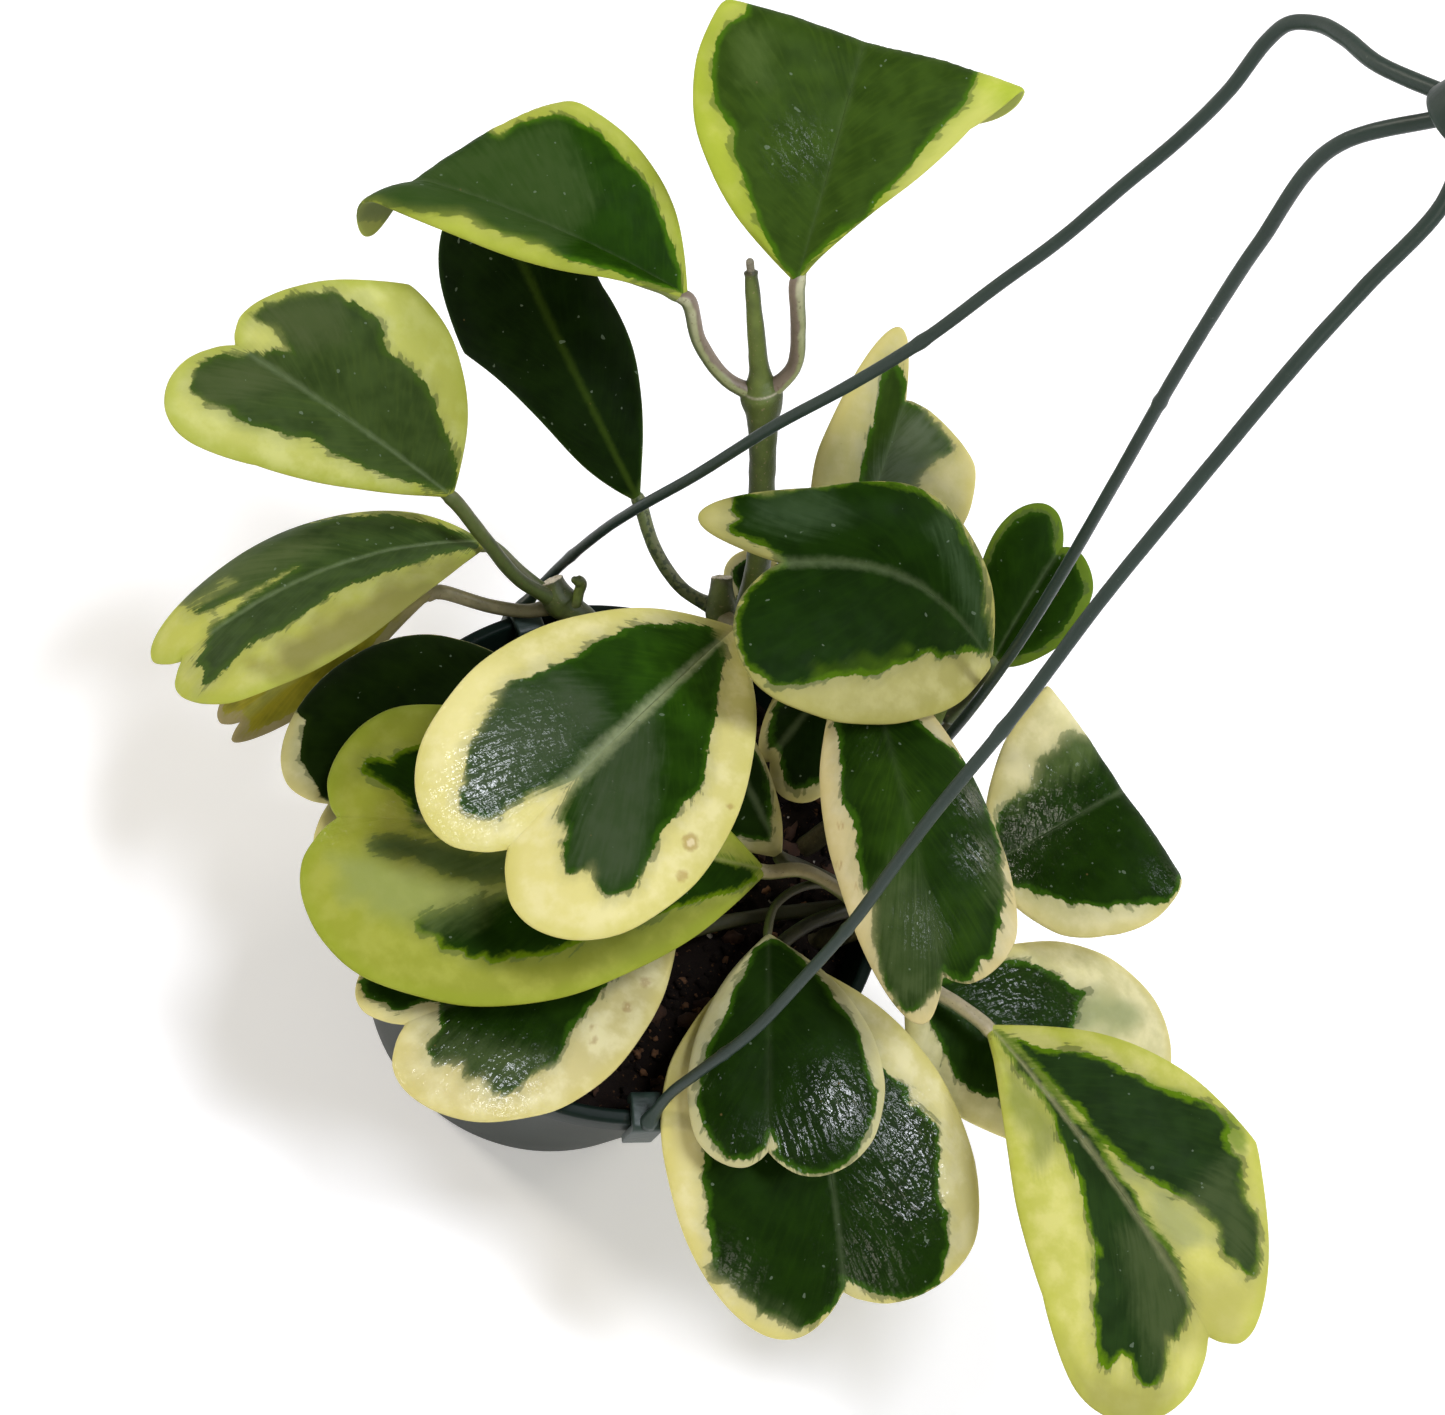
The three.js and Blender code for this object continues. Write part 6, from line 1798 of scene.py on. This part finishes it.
def paint_blade(blade, marks, number):
    """The values that the leaf skin reads, for every point of a blade's top skin."""
    edge, rib = blade["edge"], blade["rib"]
    count = len(edge)
    shown = pixels(blade["top"])
    if marks["dark"]:
        dark = patch_depth(shown, marks["dark"])
        dark = np.minimum(dark, edge - marks["hem"] * HEM_UNDER_PATCH)
    else:
        dark = edge - marks["hem"]
    spots = np.full(count, NO_SPOT)
    for x, y, radius in marks["spots"]:
        away = np.hypot(shown[:, 0] - x, shown[:, 1] - y) - radius
        spots = np.minimum(spots, away * MM_PER_PIXEL)
    glint = np.zeros(count)
    for x, y, radius, strength in marks["glints"]:
        away = np.hypot(shown[:, 0] - x, shown[:, 1] - y)
        glint = np.maximum(glint, strength * near(away, radius))
    ramp = np.clip(grid_part * MARGIN_TURNS, 0, 1)[:, None]
    near_tone, far_tone = (np.array(linear(h)[:3]) for h in marks["margin"])
    start_share, end_share = marks["rib_run"]
    blade_tones = {
        "margin": near_tone * (1 - ramp) + far_tone * ramp,
        **{key: np.tile(linear(marks[key])[:3], (count, 1)) for key in READ_TONES if key != "margin"},
    }
    sway_by = np.array([noise.noise(Vector((x, y, number)) / WASH_WANDER) for x, y in shown])
    for kind, wash_tone, strength, soft_mm, corners in marks["washes"]:
        inside = inside_by(shown, corners) + sway_by * WASH_SWAY
        share = strength * np.clip(inside / soft_mm + 0.5, 0, 1)[:, None]
        for key in WASHED[kind]:
            blade_tones[key] = blade_tones[key] * (1 - share) + np.array(linear(wash_tone)[:3]) * share
    vein_apart = np.sign(grid_share) * HALVES_APART + number * LEAVES_APART
    return {
        "dark_mm": dark,
        "grey_mm": patch_depth(shown, marks["grey"]),
        "spot_mm": spots,
        "edge_mm": edge,
        "rib_gap": rib / (RIB_TIP_WIDE + (marks["rib_wide"] - RIB_TIP_WIDE) * grid_part),
        "rib_share": marks["rib"] * (start_share + (end_share - start_share) * grid_part),
        "fringe_share": np.full(count, marks["fringe_share"]),
        "jag": np.full(count, marks["jag"]),
        "glint": glint,
        "streak": np.full(count, marks["streak"]),
        "vein": np.stack([rib, blade["across_vein"], vein_apart], axis=1),
        **blade_tones,
    }


print("values read by the skin:", len(READ_VALUES) + len(READ_TONES) + 1)

# %% A leaf's stalk
STALK_FACES_UP = 8.0
STALK_GROOVE = 0.16
STALK_STEPS = 48
STALK_SIDES = 22
STALK_WOBBLE = 0.05
STALK_PLAIN = 0.95
STALK_TOP_WIDE = 0.08
STALK_TOP_LONG = 5
STALK_NECK_SLIM = 0.3
STALK_NECK_LONG = 1.2
STALK_END_WIDE = 0.42
STALK_END_LONG = 4.5
STALK_ENTERS = 0.035
ENTERS_BELOW = 0.7


def grow_stalk(name, leaf, marks, upper):
    """A round stalk from inside its blade to its stem, thicker where it joins either."""
    inside = leaf_surface(leaf, np.zeros(1), np.array([STALK_ENTERS]))[0]
    places = [leaf["at"][0], *leaf["through"]]
    route = [inside - upper * ENTERS_BELOW, *[seen(place) for place in places]]
    line = smooth_line(route, STALK_STEPS)
    stem_tip = seen(STEMS[leaf["stem"]][1][-1])
    inward = stem_tip + np.array([0, 0, STALK_FACES_UP]) - line[len(line) // 2]
    from_end = np.linalg.norm(line - line[-1], axis=1)
    from_start = np.linalg.norm(line - line[0], axis=1)
    size = (STALK_PLAIN + STALK_END_WIDE * near(from_end, STALK_END_LONG)
            + STALK_TOP_WIDE * near(from_start, STALK_TOP_LONG))
    size = leaf["stalk"] / 2 * size
    size = size * (1 - STALK_NECK_SLIM * near(from_start, STALK_NECK_LONG))
    points, faces, values = tube(
        line, size, STALK_SIDES, wobble=STALK_WOBBLE, ends=(ROUND_END, ()), first_side=inward,
        groove=STALK_GROOVE,
    )
    make_piece(name + "_stalk", points, faces, stalk_skin, name, {
        "along": values[:, 0],
        "upper_side": values[:, 1],
        "sunned": np.full(len(points), marks["sunned"]),
        "speckle": np.full(len(points), marks["speckle"]),
        **{key: np.tile(linear(marks[key])[:3], (len(points), 1)) for key in STALK_TONES},
    })


print("a stalk is", PLAIN_LEAF["stalk"], "mm thick, if its leaf says nothing else")

# %% Grow every leaf
NEAR_BASE = slice(1, 60)


def grow_leaf(name, leaf, marks, number):
    """One leaf: a closed blade that carries its patches and tones, and its stalk."""
    blade = shape_blade(name, leaf, number)
    values = paint_blade(blade, marks, number)
    count = len(blade["top"])
    low_number = np.arange(count)
    low_number[~ON_RIM] = count + np.arange((~ON_RIM).sum())
    points = np.concatenate([blade["top"], blade["bottom"][~ON_RIM]])
    low_faces = [tuple(int(low_number[i]) for i in f[::-1]) for f in blade["faces"]]
    values = {key: np.concatenate([v, v[~ON_RIM]]) for key, v in values.items()}
    values["glint"][count:] = 0
    values["under"] = np.concatenate([np.zeros(count), np.ones((~ON_RIM).sum())])
    faces = list(blade["faces"]) + low_faces
    make_piece(name + "_blade", points, faces, leaf_skin, name, values)
    grow_stalk(name, leaf, marks, blade["normals"][NEAR_BASE].mean(axis=0))


for number, (name, own) in enumerate(LEAVES.items()):
    grow_leaf(name, {**PLAIN_LEAF, **own}, {**PLAIN_MARKS, **MARKS[name]}, number)
print("leaves grown:", len(LEAVES))

# %% Build the stems
SWELL_SIZE = 5.0
SWELL_HIGH = 0.8
SWELL_FADE = 6
STEM_STEPS = 40
STEM_SIDES = 26
STEM_WOBBLE = 0.08
BARK_HIGH = 45
BARK_MOST = 1.1
BARK_SHARE = 0.8
DRY_TIP = 2.4
DRY_SHARE = 0.66
DRY_COLLAR = 0.25
DRY_COLLAR_LONG = 0.5
DRY_FADE = 2
DRY_EDGE = 0.5
DRY_PALE = 0.3
SCAR_PALE = 0.5
SCAR_WIDE = 0.28
SCAR_SHADE = 0.5
SCAR_SHADE_LONG = 3
TIP_SHADE = 0.7
TIP_SHADE_LONG = 10
CUT_GRAIN = 1.2
CUT_RAGGED = 0.9
CUT_OLD = 0.85
CUT_OLD_LONG = 9
CUT_SHADE = 0.45
CUT_FROM = 0.985
TALL_SCAR = (761, 388, 33)


def grow_stem(name):
    """A stem with swellings where its leaf stalks spring."""
    foot, through, diameters = STEMS[name]
    start = np.array([foot[0], foot[1], SOIL_LEVEL - SOIL_BELOW])
    route = [start, *[seen(p) for p in through]]
    steps = STEM_STEPS * (len(route) - 1)
    line = smooth_line(route, steps)
    radii = np.interp(np.linspace(0, len(route) - 1, steps + 1), range(len(diameters)), diameters) / 2
    for leaf in LEAVES.values():
        if leaf["stem"] != name:
            continue
        joint = seen(leaf["through"][-1])
        away = np.linalg.norm(line - joint, axis=1)
        radii = radii + SWELL_HIGH * near(away, SWELL_SIZE) * np.exp(-away.min() / SWELL_FADE)
    from_tip = np.linalg.norm(line - line[-1], axis=1)
    if name == "stem_tall":
        radii = radii * np.where(from_tip < DRY_TIP, DRY_SHARE, 1.0)
        radii = radii + DRY_COLLAR * near(from_tip - DRY_TIP - DRY_COLLAR_LONG, DRY_COLLAR_LONG)
    end = CUT_END if name in CUT_TOPS else ROUND_END
    points, faces, values = tube(
        line, radii, STEM_SIDES, wobble=STEM_WOBBLE, ends=((), end), first_side=-AHEAD,
    )
    above = points[:, 2] - SOIL_LEVEL
    tip = np.linalg.norm(points - line[-1], axis=1)
    age = np.clip(BARK_MOST - above / BARK_HIGH, 0, 1) * BARK_SHARE
    cut = np.zeros(len(points))
    # Painted shade: the lens side counts as lit; darker below the scar, near the tip and on cut stubs.
    painted_lit_side = values[:, 1]
    if name == "stem_tall":
        age = np.maximum(age, np.clip((DRY_TIP + DRY_FADE - tip) / DRY_FADE, 0, 1))
        cut = np.clip((DRY_TIP - tip) / DRY_EDGE, 0, DRY_PALE)
        scar = seen(TALL_SCAR)
        slope = (line[-1] - scar) / np.linalg.norm(line[-1] - scar)
        past_scar = (points - scar) @ slope
        cut = np.maximum(cut, SCAR_PALE * near(past_scar, SCAR_WIDE))
        painted_lit_side = painted_lit_side - SCAR_SHADE * np.clip(-past_scar / SCAR_SHADE_LONG, 0, 1)
        painted_lit_side = painted_lit_side - TIP_SHADE * np.clip(1 - tip / TIP_SHADE_LONG, 0, 1)
    if name in CUT_TOPS:
        cut = values[:, 2]
        age = np.maximum(age, np.clip(CUT_OLD - tip / CUT_OLD_LONG, 0, 1))
        painted_lit_side = painted_lit_side - CUT_SHADE
        lifts = [noise.noise(Vector(p) / CUT_GRAIN) for p in points] * (values[:, 0] > CUT_FROM)
        points = points + np.outer(lifts, (0, 0, CUT_RAGGED))
    make_piece(name + "_bark", points, faces, green_bark, name, {
        "age": age, "cut": cut, "painted_lit_side": painted_lit_side,
    })


for name in STEMS:
    grow_stem(name)

# A resting bud curls beside the cut end of the left stem, and a short stump stands by it.
BUD_STEPS = 30
BUD_SIDES = 20
BUD_WOBBLE = 0.12
BUD_THROUGH = ((562, 604, -13), (575, 604, -12), (579, 592, -11), (581, 583, -10), (575, 580, -9))
bud_line = smooth_line([seen(p) for p in BUD_THROUGH], BUD_STEPS)
bud_shares = np.linspace(0, 1, BUD_STEPS + 1)
bud_radii = np.interp(bud_shares, (0, 0.4, 0.7, 0.9, 1), (1.9, 1.5, 1.6, 1.7, 1.1))
points, faces, values = tube(
    bud_line, bud_radii, BUD_SIDES, wobble=BUD_WOBBLE, ends=((), ROUND_END), first_side=-AHEAD,
)
# The bud takes the same painted shade on its sides away from the lens.
make_piece("stem_left_bud", points, faces, green_bark, "stem_left", {
    "age": np.clip(0.7 - values[:, 0], 0, 1), "cut": np.zeros(len(points)), "painted_lit_side": values[:, 1],
})
print("stems grown:", len(STEMS))
